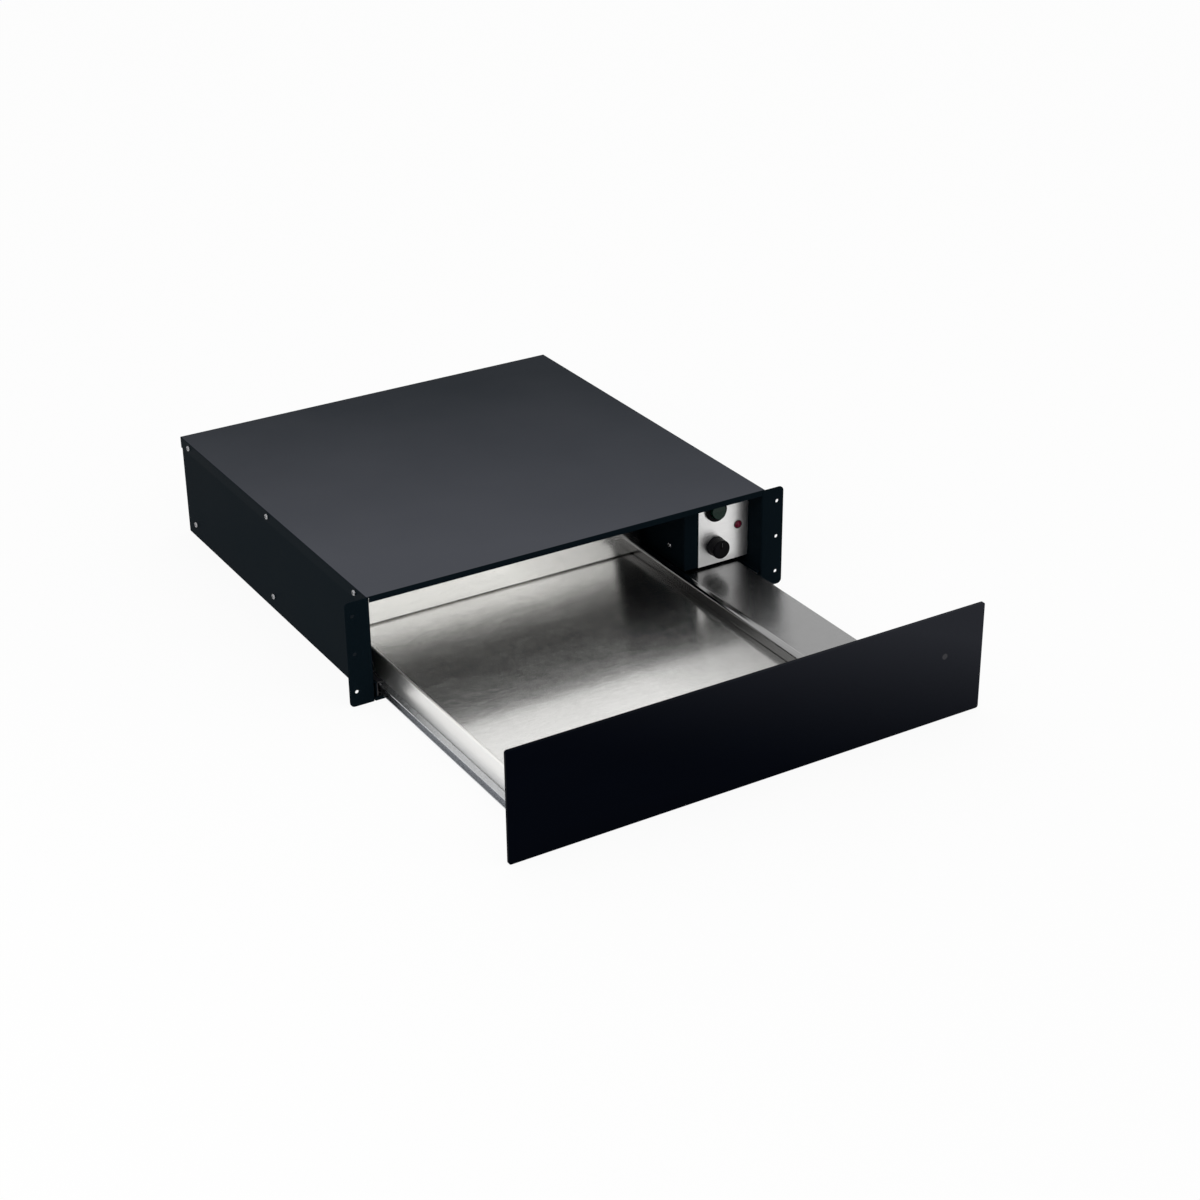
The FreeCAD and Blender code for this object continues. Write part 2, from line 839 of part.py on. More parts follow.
def glass_front():
    glass = box(-glass_half, glass_y, glass_bottom, glass_half, pan_y, glass_top)
    glass = glass.makeFillet(glass_corner, edges_along(glass, Y, lambda c: True))
    glass = glass.makeChamfer(glass_chamfer, edges_at(glass, glass_y))
    hole = window_hole(window_radius + running_gap, glass_y - cut_past, pan_y + cut_past)
    return {"glass_front": glass.cut(hole)}


def indicator_window():
    return {"indicator_window": window_hole(window_radius, glass_y, pan_y)}


def front_bumpers():
    thickness = front_gap - free_gap
    bumpers = []
    for x in (-pan_half + bumper_from_edge, pan_half - bumper_from_edge):
        for z in (pan_bottom + bumper_from_end, pan_top - bumper_from_end):
            bumpers.append(rod(bumper_radius, Vector(x, drawer_y, z), Vector(x, drawer_y + thickness, z)))
    return {"front_bumpers": Part.makeCompound(bumpers)}


# Control box and panel
def box_screw_places():
    return [Vector(box_left, panel_y + box_screw_first + i * box_screw_pitch, box_bottom + box_screw_height)
            for i in range(box_screw_count)]


def box_wall_holes():
    """Holes through the box's left wall for its screws, the wires and the capillary."""
    reach = X * (3 * control_box_sheet)
    holes = [rod(screw_radius + hole_gap, place - X * cut_past, place + reach) for place in box_screw_places()]
    for radius, y, z in ((wire_hole_radius, wire_y, wire_z),
                         (capillary_radius + free_gap, capillary_y, capillary_z)):
        place = Vector(box_left, y, z)
        holes.append(rod(radius, place - X * cut_past, place + reach))
    return holes


def control_box():
    """The side wall of the control box, with its top flange and front frame."""
    wall = bent_sheet("y", [(box_left + control_box_lip, cover_under), (box_left, cover_under),
                            (box_left, box_bottom)], control_box_sheet, panel_back_y, rear_inside_y)
    right = inner_half - panel_edge_gap
    frame = box(box_left, panel_back_y, box_bottom, right, panel_back_y + control_box_sheet, cover_under)
    opening = box(panel_left + control_box_frame, panel_back_y - cut_past, box_bottom + control_box_frame,
                  right - control_box_frame, panel_back_y + 2 * control_box_sheet,
                  cover_under - control_box_frame)
    shell = fused([wall, frame.cut(opening)])
    return {"control_box": shell.cut(box_wall_holes())}


def control_box_floor():
    left = box_left + control_box_sheet
    outline = [(left, box_bottom + control_floor_lip), (left, box_bottom), (inner_half, box_bottom),
               (inner_half, box_bottom + control_box_lip)]
    sheet = bent_sheet("y", outline, control_box_sheet, panel_back_y + control_box_sheet,
                       rear_inside_y - bend_inside)
    return {"control_box_floor": sheet.cut(box_wall_holes())}


def box_screws():
    screw = pan_screw(box_screw_length)
    screws = [placed(screw, place, X * -1) for place in box_screw_places()]
    return {"box_screws": Part.makeCompound(screws)}


def at_knob(y):
    return Vector(knob_x, y, knob_z)


knob_x = panel_left + knob_from_left
knob_z = box_bottom + knob_from_floor
switch_x = panel_left + switch_from_left
switch_z = cover_under - switch_from_top
lamp_x = window_x
lamp_z = window_z


def control_panel():
    plate = box(panel_left, panel_y, box_bottom, inner_half - panel_edge_gap, panel_back_y,
                cover_under - free_gap)
    holes = []
    for radius, x, z in ((bushing_radius, knob_x, knob_z), (switch_barrel_radius, switch_x, switch_z),
                         (lamp_radius, lamp_x, lamp_z)):
        front = Vector(x, panel_y - cut_past, z)
        holes.append(rod(radius + hole_gap, front, front + Y * (panel_sheet + 2 * cut_past)))
    return {"control_panel": plate.cut(holes)}


def thermostat_body():
    half = thermostat_side / 2
    back = panel_back_y + thermostat_depth
    case = box(knob_x - half, panel_back_y, knob_z - half, knob_x + half, back, knob_z + half)
    case = case.makeFillet(thermostat_rounding, edges_along(case, Y, lambda c: True))
    bushing = rod(bushing_radius, at_knob(panel_y - bushing_length), at_knob(panel_back_y))
    bore = rod(stem_radius + running_gap, at_knob(panel_y - bushing_length - cut_past),
               at_knob(panel_back_y + stem_inside))
    tabs = [tab(at_knob(back) + Z * z) for z in row(2, thermostat_tab_spacing)]
    return {"thermostat_body": fused([case, bushing] + tabs).cut(bore)}


def thermostat_nut():
    nut = hexagon(nut_across, at_knob(panel_y - nut_thickness), at_knob(panel_y))
    hole = rod(bushing_radius + running_gap, at_knob(panel_y - 2 * nut_thickness), at_knob(panel_back_y))
    return {"thermostat_nut": nut.cut(hole)}


knob_back_y = panel_y - knob_panel_gap
knob_front_y = knob_back_y - knob_length
knob_recess_y = panel_y - bushing_length - free_gap
knob_bore_y = knob_back_y - knob_bore_depth


def thermostat_stem():
    front = knob_bore_y + free_gap
    stem = rod(stem_radius, at_knob(front), at_knob(panel_back_y + stem_inside - free_gap))
    flat = box(knob_x - stem_radius, front - cut_past, knob_z + stem_radius - stem_flat,
               knob_x + stem_radius, panel_y - bushing_length, knob_z + stem_radius + cut_past)
    return {"thermostat_stem": stem.cut(flat)}


def thermostat_knob():
    cap = Part.makeCone(knob_radius, knob_front_radius, knob_length, at_knob(knob_back_y), Y * -1)
    cap = cap.makeFillet(knob_rounding, edges_at(cap, knob_front_y))
    pointer = box(knob_x - pointer_width / 2, knob_front_y - pointer_height, knob_z + pointer_start,
                  knob_x + pointer_width / 2, knob_front_y + cut_past,
                  knob_z + knob_front_radius - knob_rounding)
    recess = rod(knob_recess_radius, at_knob(knob_recess_y), at_knob(knob_back_y + cut_past))
    bore = rod(stem_radius + running_gap, at_knob(knob_bore_y), at_knob(knob_back_y))
    flat_z = knob_z + stem_radius - stem_flat + running_gap
    flat = box(knob_x - 2 * stem_radius, knob_bore_y - cut_past, flat_z,
               knob_x + 2 * stem_radius, knob_back_y, knob_z + 2 * stem_radius)
    return {"thermostat_knob": fused([cap, pointer]).cut([recess, bore.cut(flat)])}


bulb_right = box_left - bulb_start
capillary_y = baffle_back_y + capillary_depth
capillary_z = box_bottom + capillary_height
capillary_x = panel_left + capillary_from_left


def capillary_bulb():
    start = Vector(capillary_x, panel_back_y + thermostat_depth, capillary_z)
    corner = Vector(capillary_x, capillary_y, capillary_z)
    end = Vector(bulb_right, capillary_y, capillary_z)
    pipe = tube([start, corner, end], capillary_radius, capillary_bend)
    bulb = rod(bulb_radius, end, end - X * bulb_length)
    return {"capillary_bulb": fused([pipe, bulb])}


# Round rocker switch
rocker_pivot = Vector(switch_x, panel_y - bezel_thickness / 2, switch_z)


def switch_body():
    front = Vector(switch_x, panel_y - bezel_thickness, switch_z)
    seat = Vector(switch_x, panel_y, switch_z)
    bezel = rod(bezel_radius, front, seat)
    bezel = bezel.makeFillet(bezel_rounding, edges_at(bezel, front.y))
    back = seat + Y * switch_barrel_length
    barrel = rod(switch_barrel_radius, seat, back)
    pocket = rod(rocker_radius + rocker_side_gap, front - Y * cut_past, front + Y * switch_pocket_depth)
    reach = X * (rocker_radius + rocker_pin_reach + rocker_pin_end_gap)
    pins = rod(rocker_pin_radius + running_gap, rocker_pivot - reach, rocker_pivot + reach)
    tabs = [tab(back + Z * z) for z in row(3, switch_tab_spacing)]
    return {"switch_body": fused([bezel, barrel] + tabs).cut([pocket, pins])}


def switch_rocker():
    front = rocker_pivot.y - rocker_rise
    back = rocker_pivot.y + rocker_back
    round_body = rod(rocker_radius, rocker_pivot - Y * rocker_rise, rocker_pivot + Y * rocker_back)
    top = switch_z + rocker_radius
    bottom = switch_z - rocker_radius
    outline = [(front, top), (front + rocker_hollow, switch_z), (front, bottom), (back, bottom), (back, top)]
    paddle = round_body.common(prism("x", outline, switch_x - rocker_radius, switch_x + rocker_radius))
    reach = X * (rocker_radius + rocker_pin_reach)
    rocker = fused([paddle, rod(rocker_pin_radius, rocker_pivot - reach, rocker_pivot + reach)])
    rocker.rotate(rocker_pivot, X, -rocker_tilt)
    return {"switch_rocker": rocker}


def pilot_lamp():
    seat = Vector(lamp_x, panel_y, lamp_z)
    barrel = rod(lamp_radius, seat, seat + Y * lamp_length)
    rim = rod(lamp_rim_radius, seat - Y * lamp_rim, seat)
    lens_radius = lamp_rim_radius - lamp_lens_edge
    base = seat - Y * lamp_rim
    ball_size = (lens_radius ** 2 + lamp_dome ** 2) / (2 * lamp_dome)
    ball = Part.makeSphere(ball_size, base + Y * (ball_size - lamp_dome))
    lens = ball.common(rod(lens_radius, base - Y * lamp_dome * 2, base))
    return {"lamp_body": fused([barrel, rim]), "lamp_lens": lens}


# Fan and ring heater
ring_radius = (housing_top - housing_bottom) / 2 - casing_sheet - element_margin - element_radius
impeller_radius = ring_radius - element_radius - element_to_impeller
impeller_y = baffle_back_y + impeller_gap
impeller_back_y = impeller_y + impeller_depth
housing_y = impeller_back_y + impeller_back_gap
housing_back_y = housing_y + casing_sheet
stator_y = housing_back_y + stator_standoff
stator_back_y = stator_y + stator_depth


def on_axis(y):
    return Vector(fan_x, y, fan_z)


def element_ends():
    """Where the two legs of the ring heater stand."""
    spread = math.radians((360 - element_sweep) / 2)
    return [Vector(fan_x + side * ring_radius * math.sin(spread), 0, fan_z - ring_radius * math.cos(spread))
            for side in (-1, 1)]


def fan_housing():
    front = baffle_back_y + bend_inside
    shell = bent_sheet("x", [(front, housing_bottom), (housing_back_y, housing_bottom),
                             (housing_back_y, housing_top), (front, housing_top)],
                       casing_sheet, fan_x - housing_half, fan_x + housing_half)
    near = housing_y - cut_past
    far = housing_back_y + cut_past
    holes = [rod(bearing_hub_radius + housing_hole_gap, on_axis(near), on_axis(far))]
    for end in element_ends():
        holes.append(rod(element_radius + hole_gap, end + Y * near, end + Y * far))
    posts = []
    post_x = (stator_half_width + stator_window_half) / 2
    for x in (-post_x, post_x):
        for z in (stator_rise - post_radius - post_edge, -post_drop):
            foot = on_axis(housing_back_y) + X * x + Z * z
            posts.append(rod(post_radius, foot, foot + Y * stator_standoff))
    return {"fan_housing": fused([shell.cut(holes)] + posts)}


def heating_element():
    """A ring with a gap at the bottom, and two legs that run back through the housing."""
    middle_y = (impeller_y + impeller_back_y) / 2
    ring = Part.makeTorus(ring_radius, element_radius, on_axis(middle_y), Y, -180, 180, element_sweep)
    ring.rotate(on_axis(middle_y), Y, 90 + (360 - element_sweep) / 2)
    legs = []
    for end in element_ends():
        base = end + Y * middle_y
        legs.append(Part.makeSphere(element_radius, base))
        legs.append(rod(element_radius, base, base + Y * element_leg))
    return {"heating_element": fused([ring] + legs)}


def fan_impeller():
    disc = rod(impeller_radius, on_axis(impeller_back_y - impeller_disc), on_axis(impeller_back_y))
    rim = rod(impeller_radius, on_axis(impeller_y), on_axis(impeller_y + impeller_disc))
    inside = rod(impeller_radius - impeller_rim, on_axis(impeller_y - cut_past), on_axis(impeller_back_y))
    rim = rim.cut(inside)
    hub = rod(hub_radius, on_axis(impeller_back_y - hub_depth), on_axis(impeller_back_y))
    blade = box(-blade_thickness / 2, impeller_y, -blade_length / 2, blade_thickness / 2,
                impeller_back_y - impeller_disc / 2, blade_length / 2)
    blade.rotate(Vector(0, 0, 0), Y, blade_angle)
    blade.translate(Z * (impeller_radius - blade_length / 2 - blade_inset))
    blades = []
    for i in range(blade_count):
        copy = blade.copy()
        copy.rotate(Vector(0, 0, 0), Y, 360.0 * i / blade_count)
        blades.append(copy.translated(on_axis(0)))
    wheel = disc.fuse([rim, hub] + blades)
    envelope = rod(impeller_radius, on_axis(impeller_y), on_axis(impeller_back_y))
    bore = rod(shaft_radius + running_gap, on_axis(impeller_y), on_axis(impeller_back_y + cut_past))
    return {"fan_impeller": wheel.common(envelope).cut(bore).removeSplitter()}


def fan_shaft():
    """The shaft with the motor's rotor pressed on it."""
    back = stator_back_y + bearing_foot + bearing_bridge + bearing_hub_length - free_gap
    nose = impeller_back_y - hub_depth - fan_nut_thickness - shaft_nose
    shaft = rod(shaft_radius, on_axis(nose), on_axis(back))
    rotor = rod(rotor_radius, on_axis(stator_y), on_axis(stator_back_y))
    return {"fan_shaft": fused([shaft, rotor])}


def fan_nut():
    seat = impeller_back_y - hub_depth
    nut = hexagon(fan_nut_across, on_axis(seat - fan_nut_thickness), on_axis(seat))
    bore = rod(shaft_radius + running_gap, on_axis(seat - 2 * fan_nut_thickness), on_axis(seat + cut_past))
    return {"fan_nut": nut.cut(bore)}


def fan_motor_stator():
    """A stack of laminations with the rotor's bore and a window over the wound limb."""
    frame = box(fan_x - stator_half_width, stator_y, fan_z - stator_drop,
                fan_x + stator_half_width, stator_back_y, fan_z + stator_rise)
    frame = frame.makeFillet(stator_rounding, edges_along(frame, Y, lambda c: True))
    near = stator_y - cut_past
    far = stator_back_y + cut_past
    bore = rod(rotor_radius + free_gap, on_axis(near), on_axis(far))
    window = box(fan_x - stator_window_half, near, fan_z - stator_drop + stator_limb,
                 fan_x + stator_window_half, far, fan_z - stator_window_top)
    return {"fan_motor_stator": frame.cut([bore, window])}


def fan_motor_coil():
    """The winding around the lower limb."""
    low = fan_z - stator_drop
    half = stator_window_half - free_gap
    winding = box(fan_x - half, stator_y - coil_wall, low - coil_wall,
                  fan_x + half, stator_back_y + coil_wall, low + stator_limb + coil_wall)
    winding = winding.makeFillet(coil_rounding, edges_along(winding, X, lambda c: True))
    limb = box(fan_x - stator_half_width, stator_y, low, fan_x + stator_half_width, stator_back_y,
               low + stator_limb)
    return {"fan_motor_coil": winding.cut(limb)}


def bearing_bracket(face_y, away):
    """A bridge across the stator, with feet and a bearing hub. It stands off along away."""
    def plate(x, half_width, near, far):
        middle = Vector(fan_x + x, face_y + away * (near + far) / 2, fan_z)
        return around(middle, Vector(half_width, (far - near) / 2, bearing_strip_half))
    top = bearing_foot + bearing_bridge
    foot_half = bearing_foot_width / 2
    pieces = [plate(0, stator_half_width, bearing_foot, top)]
    for side in (-1, 1):
        pieces.append(plate(side * (stator_half_width - foot_half), foot_half, 0, bearing_foot))
    end = top + bearing_hub_length
    hub_start = on_axis(face_y + away * bearing_foot)
    pieces.append(rod(bearing_hub_radius, hub_start, on_axis(face_y + away * end)))
    bore = rod(shaft_radius + running_gap, on_axis(face_y), on_axis(face_y + away * (end + cut_past)))
    return fused(pieces).cut(bore)


def fan_motor_brackets():
    brackets = [bearing_bracket(stator_y, -1), bearing_bracket(stator_back_y, 1)]
    return {"fan_motor_brackets": Part.makeCompound(brackets)}


def thermal_cutout():
    base = Vector(fan_x + cutout_offset, housing_back_y, fan_z + cutout_rise)
    end = base + Y * cutout_height
    can = rod(cutout_radius, base, end)
    ears = around(base + Y * (cutout_ear / 2), Vector(cutout_ear_reach, cutout_ear / 2, cutout_ear_half))
    tabs = [tab(end + Z * z) for z in row(2, cutout_tab_spacing)]
    return {"thermal_cutout": fused([can, ears] + tabs)}


# Push latch
latch_x = -tray_half + latch_from_side
plunger_tip_y = wall_y + tray_sheet + striker_plate + striker_boss + drawer_travel + free_gap
plunger_end_y = plunger_tip_y + plunger_length
latch_pocket_y = plunger_end_y + plunger_travel + latch_spring_room
latch_end_y = baffle_back_y + latch_body_depth


def at_latch(y):
    return Vector(latch_x, y, latch_height)


def push_latch_body():
    case = box(latch_x - latch_body_half_width, baffle_back_y, latch_height - latch_body_half_height,
               latch_x + latch_body_half_width, latch_end_y, latch_height + latch_body_half_height)
    case = case.makeFillet(latch_rounding, edges_along(case, Y, lambda c: True))
    nose = rod(latch_nose_radius, at_latch(baffle_y), at_latch(baffle_back_y + cut_past))
    bore = rod(plunger_radius + running_gap, at_latch(baffle_y - cut_past), at_latch(latch_pocket_y))
    return {"push_latch_body": fused([case, nose]).cut(bore)}


def push_latch_plunger():
    plunger = rod(plunger_radius, at_latch(plunger_tip_y), at_latch(plunger_end_y))
    return {"push_latch_plunger": plunger.makeFillet(plunger_rounding, edges_at(plunger, plunger_tip_y))}


def push_latch_spring():
    """A coil spring between the plunger and the bottom of its pocket."""
    mean = plunger_radius - spring_wire - spring_side_gap
    height = latch_pocket_y - plunger_end_y - 2 * (spring_wire + running_gap)
    helix = Part.makeHelix(height / spring_turns, height, mean)
    section = Part.Wire(Part.makeCircle(spring_wire, Vector(mean, 0, 0), Y))
    coil = Part.Wire(helix.Edges).makePipeShell([section], True, True)
    return {"push_latch_spring": placed(coil, at_latch(plunger_end_y + spring_wire + running_gap), Y)}


# Rear connection
gland_x = inner_half - gland_from_right
block_right = inner_half - block_from_right
block_floor = box_bottom + control_box_sheet
block_back = rear_inside_y - block_from_rear
block_front = block_back - block_depth
way_x = row(block_ways, block_width / block_ways, block_right - block_width / 2)
wire_z = block_floor + block_height - block_wire_drop
wire_y = stator_y - coil_wall / 2


def at_gland(y):
    return Vector(gland_x, y, gland_height)


def cable_gland():
    shoulder = rear_panel_y + gland_hex_length
    end = shoulder + gland_dome_length
    start = rear_inside_y - gland_nut_thickness - gland_thread_extra
    radius = gland_thread_radius - hole_gap
    flats = hexagon(gland_hex, at_gland(rear_panel_y), at_gland(shoulder))
    dome = rod(gland_dome_radius, at_gland(shoulder), at_gland(end))
    dome = dome.makeFillet(gland_dome_rounding, edges_at(dome, end))
    thread = rod(radius, at_gland(start), at_gland(rear_panel_y))
    bore = rod(gland_bore_radius, at_gland(start - cut_past), at_gland(end + cut_past))
    nut = hexagon(gland_hex, at_gland(rear_inside_y - gland_nut_thickness), at_gland(rear_inside_y))
    nut = nut.cut(rod(radius + running_gap, at_gland(start), at_gland(rear_panel_y)))
    return {"cable_gland": Part.makeCompound([fused([flats, dome, thread]).cut(bore), nut])}


def terminal_block():
    top = block_floor + block_height
    block = box(block_right - block_width, block_front, block_floor, block_right, block_back, top)
    holes = []
    for x in way_x:
        screw = Vector(x, (block_front + block_back) / 2, top)
        holes.append(rod(block_screw_radius, screw - Z * block_screw_depth, screw + Z * cut_past))
        wire = Vector(x, block_front, wire_z)
        holes.append(rod(wire_radius + hole_gap, wire - Y * cut_past, wire + Y * block_wire_depth))
    return {"terminal_block": block.cut(holes)}


def wiring():
    """Three wires to the controls, and one to the fan motor."""
    aside = wire_from_middle
    targets = [Vector(knob_x + aside, panel_back_y + thermostat_depth, knob_z + aside),
               Vector(switch_x + aside, panel_y + switch_barrel_length, switch_z + aside / 2),
               Vector(lamp_x, panel_y + lamp_length, lamp_z)]
    wires = []
    for i, (x, target) in enumerate(zip(way_x, targets)):
        turn_y = target.y + wire_turn_back + wire_turn_pitch * i
        points = [Vector(x, block_front, wire_z), Vector(x, turn_y, wire_z),
                  Vector(target.x, turn_y - wire_slant, target.z), target]
        wires.append(tube(points, wire_radius, wire_bend))
    coil = Vector(fan_x + stator_window_half, wire_y, fan_z - stator_drop + stator_limb / 2)
    turn_x = fan_x + housing_half
    points = [Vector(block_right - block_width, wire_y, wire_z), Vector(turn_x, wire_y, wire_z),
              Vector(turn_x - motor_wire_slant, wire_y, coil.z), coil]
    wires.append(tube(points, wire_radius, wire_bend))
    return {"wiring": Part.makeCompound(wires)}


makers = [base_plate, top_cover, side_panels, rear_panel, mounting_flanges, casing_screws, rear_screws,
          rear_baffle, slide_brackets, cabinet_members, drawer_members, ball_cages, slide_balls,
          tray_floor, tray_side, divider_rail, side_shelf, tray_rear_wall, latch_striker,
          front_screws, inner_front_panel, front_pan, glass_front, indicator_window, front_bumpers,
          control_box, control_box_floor, box_screws, control_panel, thermostat_body, thermostat_nut,
          thermostat_stem, thermostat_knob, capillary_bulb, switch_body, switch_rocker, pilot_lamp,
          fan_housing, heating_element, fan_impeller, fan_shaft, fan_nut, fan_motor_stator,
          fan_motor_coil, fan_motor_brackets, thermal_cutout, push_latch_body, push_latch_plunger,
          push_latch_spring, cable_gland, terminal_block, wiring]


def main():
    os.makedirs("parts", exist_ok=True)
    for maker in makers:
        for name, shape in maker().items():
            shape.exportStep("parts/" + name + ".step")
            print(name, round(shape.Volume), shape.isValid(), len(shape.Solids))


main()
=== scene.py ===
import math

import bmesh
import bpy
from mathutils import Matrix, Vector


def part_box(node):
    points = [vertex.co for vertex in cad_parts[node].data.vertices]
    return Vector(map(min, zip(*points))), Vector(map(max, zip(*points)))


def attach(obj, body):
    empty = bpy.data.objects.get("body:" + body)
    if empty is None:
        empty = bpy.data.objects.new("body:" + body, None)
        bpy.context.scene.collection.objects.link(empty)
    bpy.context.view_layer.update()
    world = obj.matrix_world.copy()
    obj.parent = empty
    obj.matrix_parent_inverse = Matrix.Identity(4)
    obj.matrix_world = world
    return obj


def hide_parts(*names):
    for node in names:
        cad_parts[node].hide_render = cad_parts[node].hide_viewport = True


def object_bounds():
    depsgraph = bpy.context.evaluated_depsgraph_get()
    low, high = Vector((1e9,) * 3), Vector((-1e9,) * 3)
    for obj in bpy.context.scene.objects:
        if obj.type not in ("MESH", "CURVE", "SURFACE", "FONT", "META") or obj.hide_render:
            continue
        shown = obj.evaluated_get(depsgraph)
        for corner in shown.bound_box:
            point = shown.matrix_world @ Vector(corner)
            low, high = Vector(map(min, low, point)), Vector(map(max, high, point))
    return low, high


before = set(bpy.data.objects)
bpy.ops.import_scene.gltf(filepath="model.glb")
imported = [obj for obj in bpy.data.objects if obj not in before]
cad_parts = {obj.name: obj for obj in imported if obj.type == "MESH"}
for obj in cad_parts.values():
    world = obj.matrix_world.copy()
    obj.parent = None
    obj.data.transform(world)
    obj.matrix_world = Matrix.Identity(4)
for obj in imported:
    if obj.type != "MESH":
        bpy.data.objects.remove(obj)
cad_low, cad_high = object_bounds()

bl_info = {
    "name": "Warming Drawer Finishes",
    "version": (1, 0, 0),
    "blender": (4, 5, 0),
    "location": "3D View > Sidebar > Warming Drawer",
    "description": "Paints, steels, glass and controls for a built-in warming drawer",
    "category": "Object",
}

MM = 0.001
AXES = {"x": Vector((1, 0, 0)), "y": Vector((0, 1, 0)), "z": Vector((0, 0, 1))}
WHITE = (1.0, 1.0, 1.0, 1.0)
FLOOR_RADIUS = 14.0
FLOOR_GAP = 0.2 * MM
LAMP_TARGET = (0.0, -0.3, 0.05)


# Sizes and colours that a user would change
def colour(name, description, default):
    return bpy.props.FloatVectorProperty(name=name, description=description, default=default,
                                         subtype="COLOR", size=3, min=0.0, max=1.0)


def length(name, description, default):
    return bpy.props.FloatProperty(name=name, description=description, default=default,
                                   subtype="DISTANCE", unit="LENGTH", min=0.0, precision=5)


def share(name, description, default):
    return bpy.props.FloatProperty(name=name, description=description, default=default,
                                   subtype="FACTOR", min=0.0, max=1.0)


def angle(name, description, default):
    return bpy.props.FloatProperty(name=name, description=description, default=math.radians(default),
                                   subtype="ANGLE", unit="ROTATION")


class PaintSettings(bpy.types.PropertyGroup):
    casing: colour("Casing", "Powder coat of the casing and flanges", (0.0032, 0.0066, 0.0094))
    # The cover shade below is a painted sheen: the cover's level top is painted lighter, most of all towards
    # the front.
    cover: colour("Cover", "Shade of the top cover where it is rubbed most", (0.066, 0.07, 0.082))
    peel: length("Orange peel", "Width of the small waves in the powder coat", 0.0016)
    casing_gloss: share("Casing gloss", "Strength of the casing's reflection", 0.005)
    cover_gloss: share("Cover gloss", "Strength of the cover's reflection", 0.005)


class SteelSettings(bpy.types.PropertyGroup):
    stainless: colour("Stainless", "Brushed stainless steel of the tray", (0.84, 0.835, 0.815))
    # The shelf steel below is a much darker copy of the tray's stainless: painted shade on the side shelf and
    # its rail.
    shelf: colour("Shelf", "Duller brushed steel of the side shelf and its rail", (0.29, 0.29, 0.29))
    panel: colour("Panel", "Brushed plate behind the knob", (0.84, 0.835, 0.83))
    zinc: colour("Zinc", "Bright zinc plate of the slides", (0.55, 0.56, 0.58))
    screw: colour("Screws", "Zinc plate of the screws", (0.3, 0.3, 0.31))
    stroke: length("Brush stroke", "Length of one stroke of the brushed grain", 0.012)
    line: length("Brush line", "Width of one line of the brushed grain", 0.00008)
    tilt: share("Brush depth", "How far the brushed lines tip the surface", 0.08)
    haze: bpy.props.FloatProperty(name="Haze", description="How much further the few deepest lines tip it",
                                  default=30.0, min=0.0)
    # The share below is a painted shade: the tray floor is painted darker towards its right.
    painted_shade: share("Dull side", "Share of its shade that the tray floor keeps on the right", 0.42)


class FrontSettings(bpy.types.PropertyGroup):
    glass: colour("Glass", "Paint behind the front glass", (0.0007, 0.0014, 0.0036))
    # The glass glow below is a painted reflection: the glass is painted paler towards its upper right corner.
    glow: colour("Glass glow", "Its tone towards the upper right corner", (0.021, 0.0225, 0.028))
    window: colour("Window", "Lens over the pilot lamp's window", (0.03, 0.03, 0.035))
    rubber: colour("Rubber", "Bumpers between the front and the casing", (0.012, 0.012, 0.012))


class ControlSettings(bpy.types.PropertyGroup):
    knob: colour("Knob", "Gloss plastic of the knob", (0.002, 0.002, 0.003))
    bezel: colour("Switch body", "Grained plastic of the switch body", (0.003, 0.003, 0.004))
    rocker: colour("Rocker", "Tinted lens of the rocker", (0.0, 0.02, 0.011))
    lamp: colour("Lamp", "Lens of the pilot lamp", (0.13, 0.0, 0.02))
    mark: colour("Marks", "Printed marks", (0.025, 0.025, 0.027))
    flutes: bpy.props.IntProperty(name="Flutes", description="Grip flutes round the knob", default=36, min=3)
    flute_depth: length("Flute depth", "Depth of each grip flute", 0.00028)
    dish: length("Dish", "Depth of the hollow in the knob's face", 0.0005)


class InsideSettings(bpy.types.PropertyGroup):
    slide: colour("Cabinet slides", "Black coat of the slides' fixed members", (0.012, 0.012, 0.014))
    ball: colour("Balls", "Polished steel balls", (0.75, 0.75, 0.76))
    case: colour("Cases", "Moulded cases of the thermostat and the lamp", (0.04, 0.028, 0.024))
    copper: colour("Copper", "Bare copper of the capillary", (0.72, 0.34, 0.17))
    sheet: colour("Galvanised sheet", "Fan housing, brackets and striker", (0.5, 0.51, 0.52))
    aluminium: colour("Aluminium", "Pressed blades of the fan", (0.7, 0.71, 0.72))
    sheath: colour("Sheath", "Steel sheath of the ring heater", (0.16, 0.15, 0.14))
    straw: colour("Straw tint", "First tint that heat leaves on steel", (0.2, 0.13, 0.09))
    blue: colour("Blue tint", "Second tint that heat leaves on steel", (0.1, 0.1, 0.16))
    iron: colour("Iron", "Edges of the motor's laminations", (0.25, 0.25, 0.26))
    winding: colour("Winding", "Enamelled wire of the motor's coil", (0.42, 0.16, 0.06))
    block: colour("Terminal block", "Pale moulding of the terminal block", (0.72, 0.7, 0.64))
    gland: colour("Gland", "Nylon of the cable gland", (0.02, 0.02, 0.021))
    wire: colour("Wires", "Covering of the inside wires", (0.5, 0.11, 0.07))
    latch: colour("Latch", "Moulding of the push latch", (0.42, 0.42, 0.43))


class StageSettings(bpy.types.PropertyGroup):
    place: bpy.props.FloatVectorProperty(name="Camera", description="Where the camera stands",
                                         default=(-1.23517, -2.38084, 1.30711), subtype="TRANSLATION",
                                         unit="LENGTH", size=3)
    azimuth: angle("Azimuth", "The camera's turn from the front", -30.94)
    elevation: angle("Elevation", "The camera's height angle", 27.072)
    roll: angle("Roll", "The camera's roll", -0.642)
    lens: bpy.props.FloatProperty(name="Lens", description="Focal length in millimetres", default=71.21)
    sky: bpy.props.FloatProperty(name="Sky", description="Brightness of the surrounding light", default=0.85)
    bright: share("Bright floor", "Share of plain white in the floor where it is seen directly", 0.92)
    floor: colour("Floor", "The plain pale floor", (0.86, 0.86, 0.855))


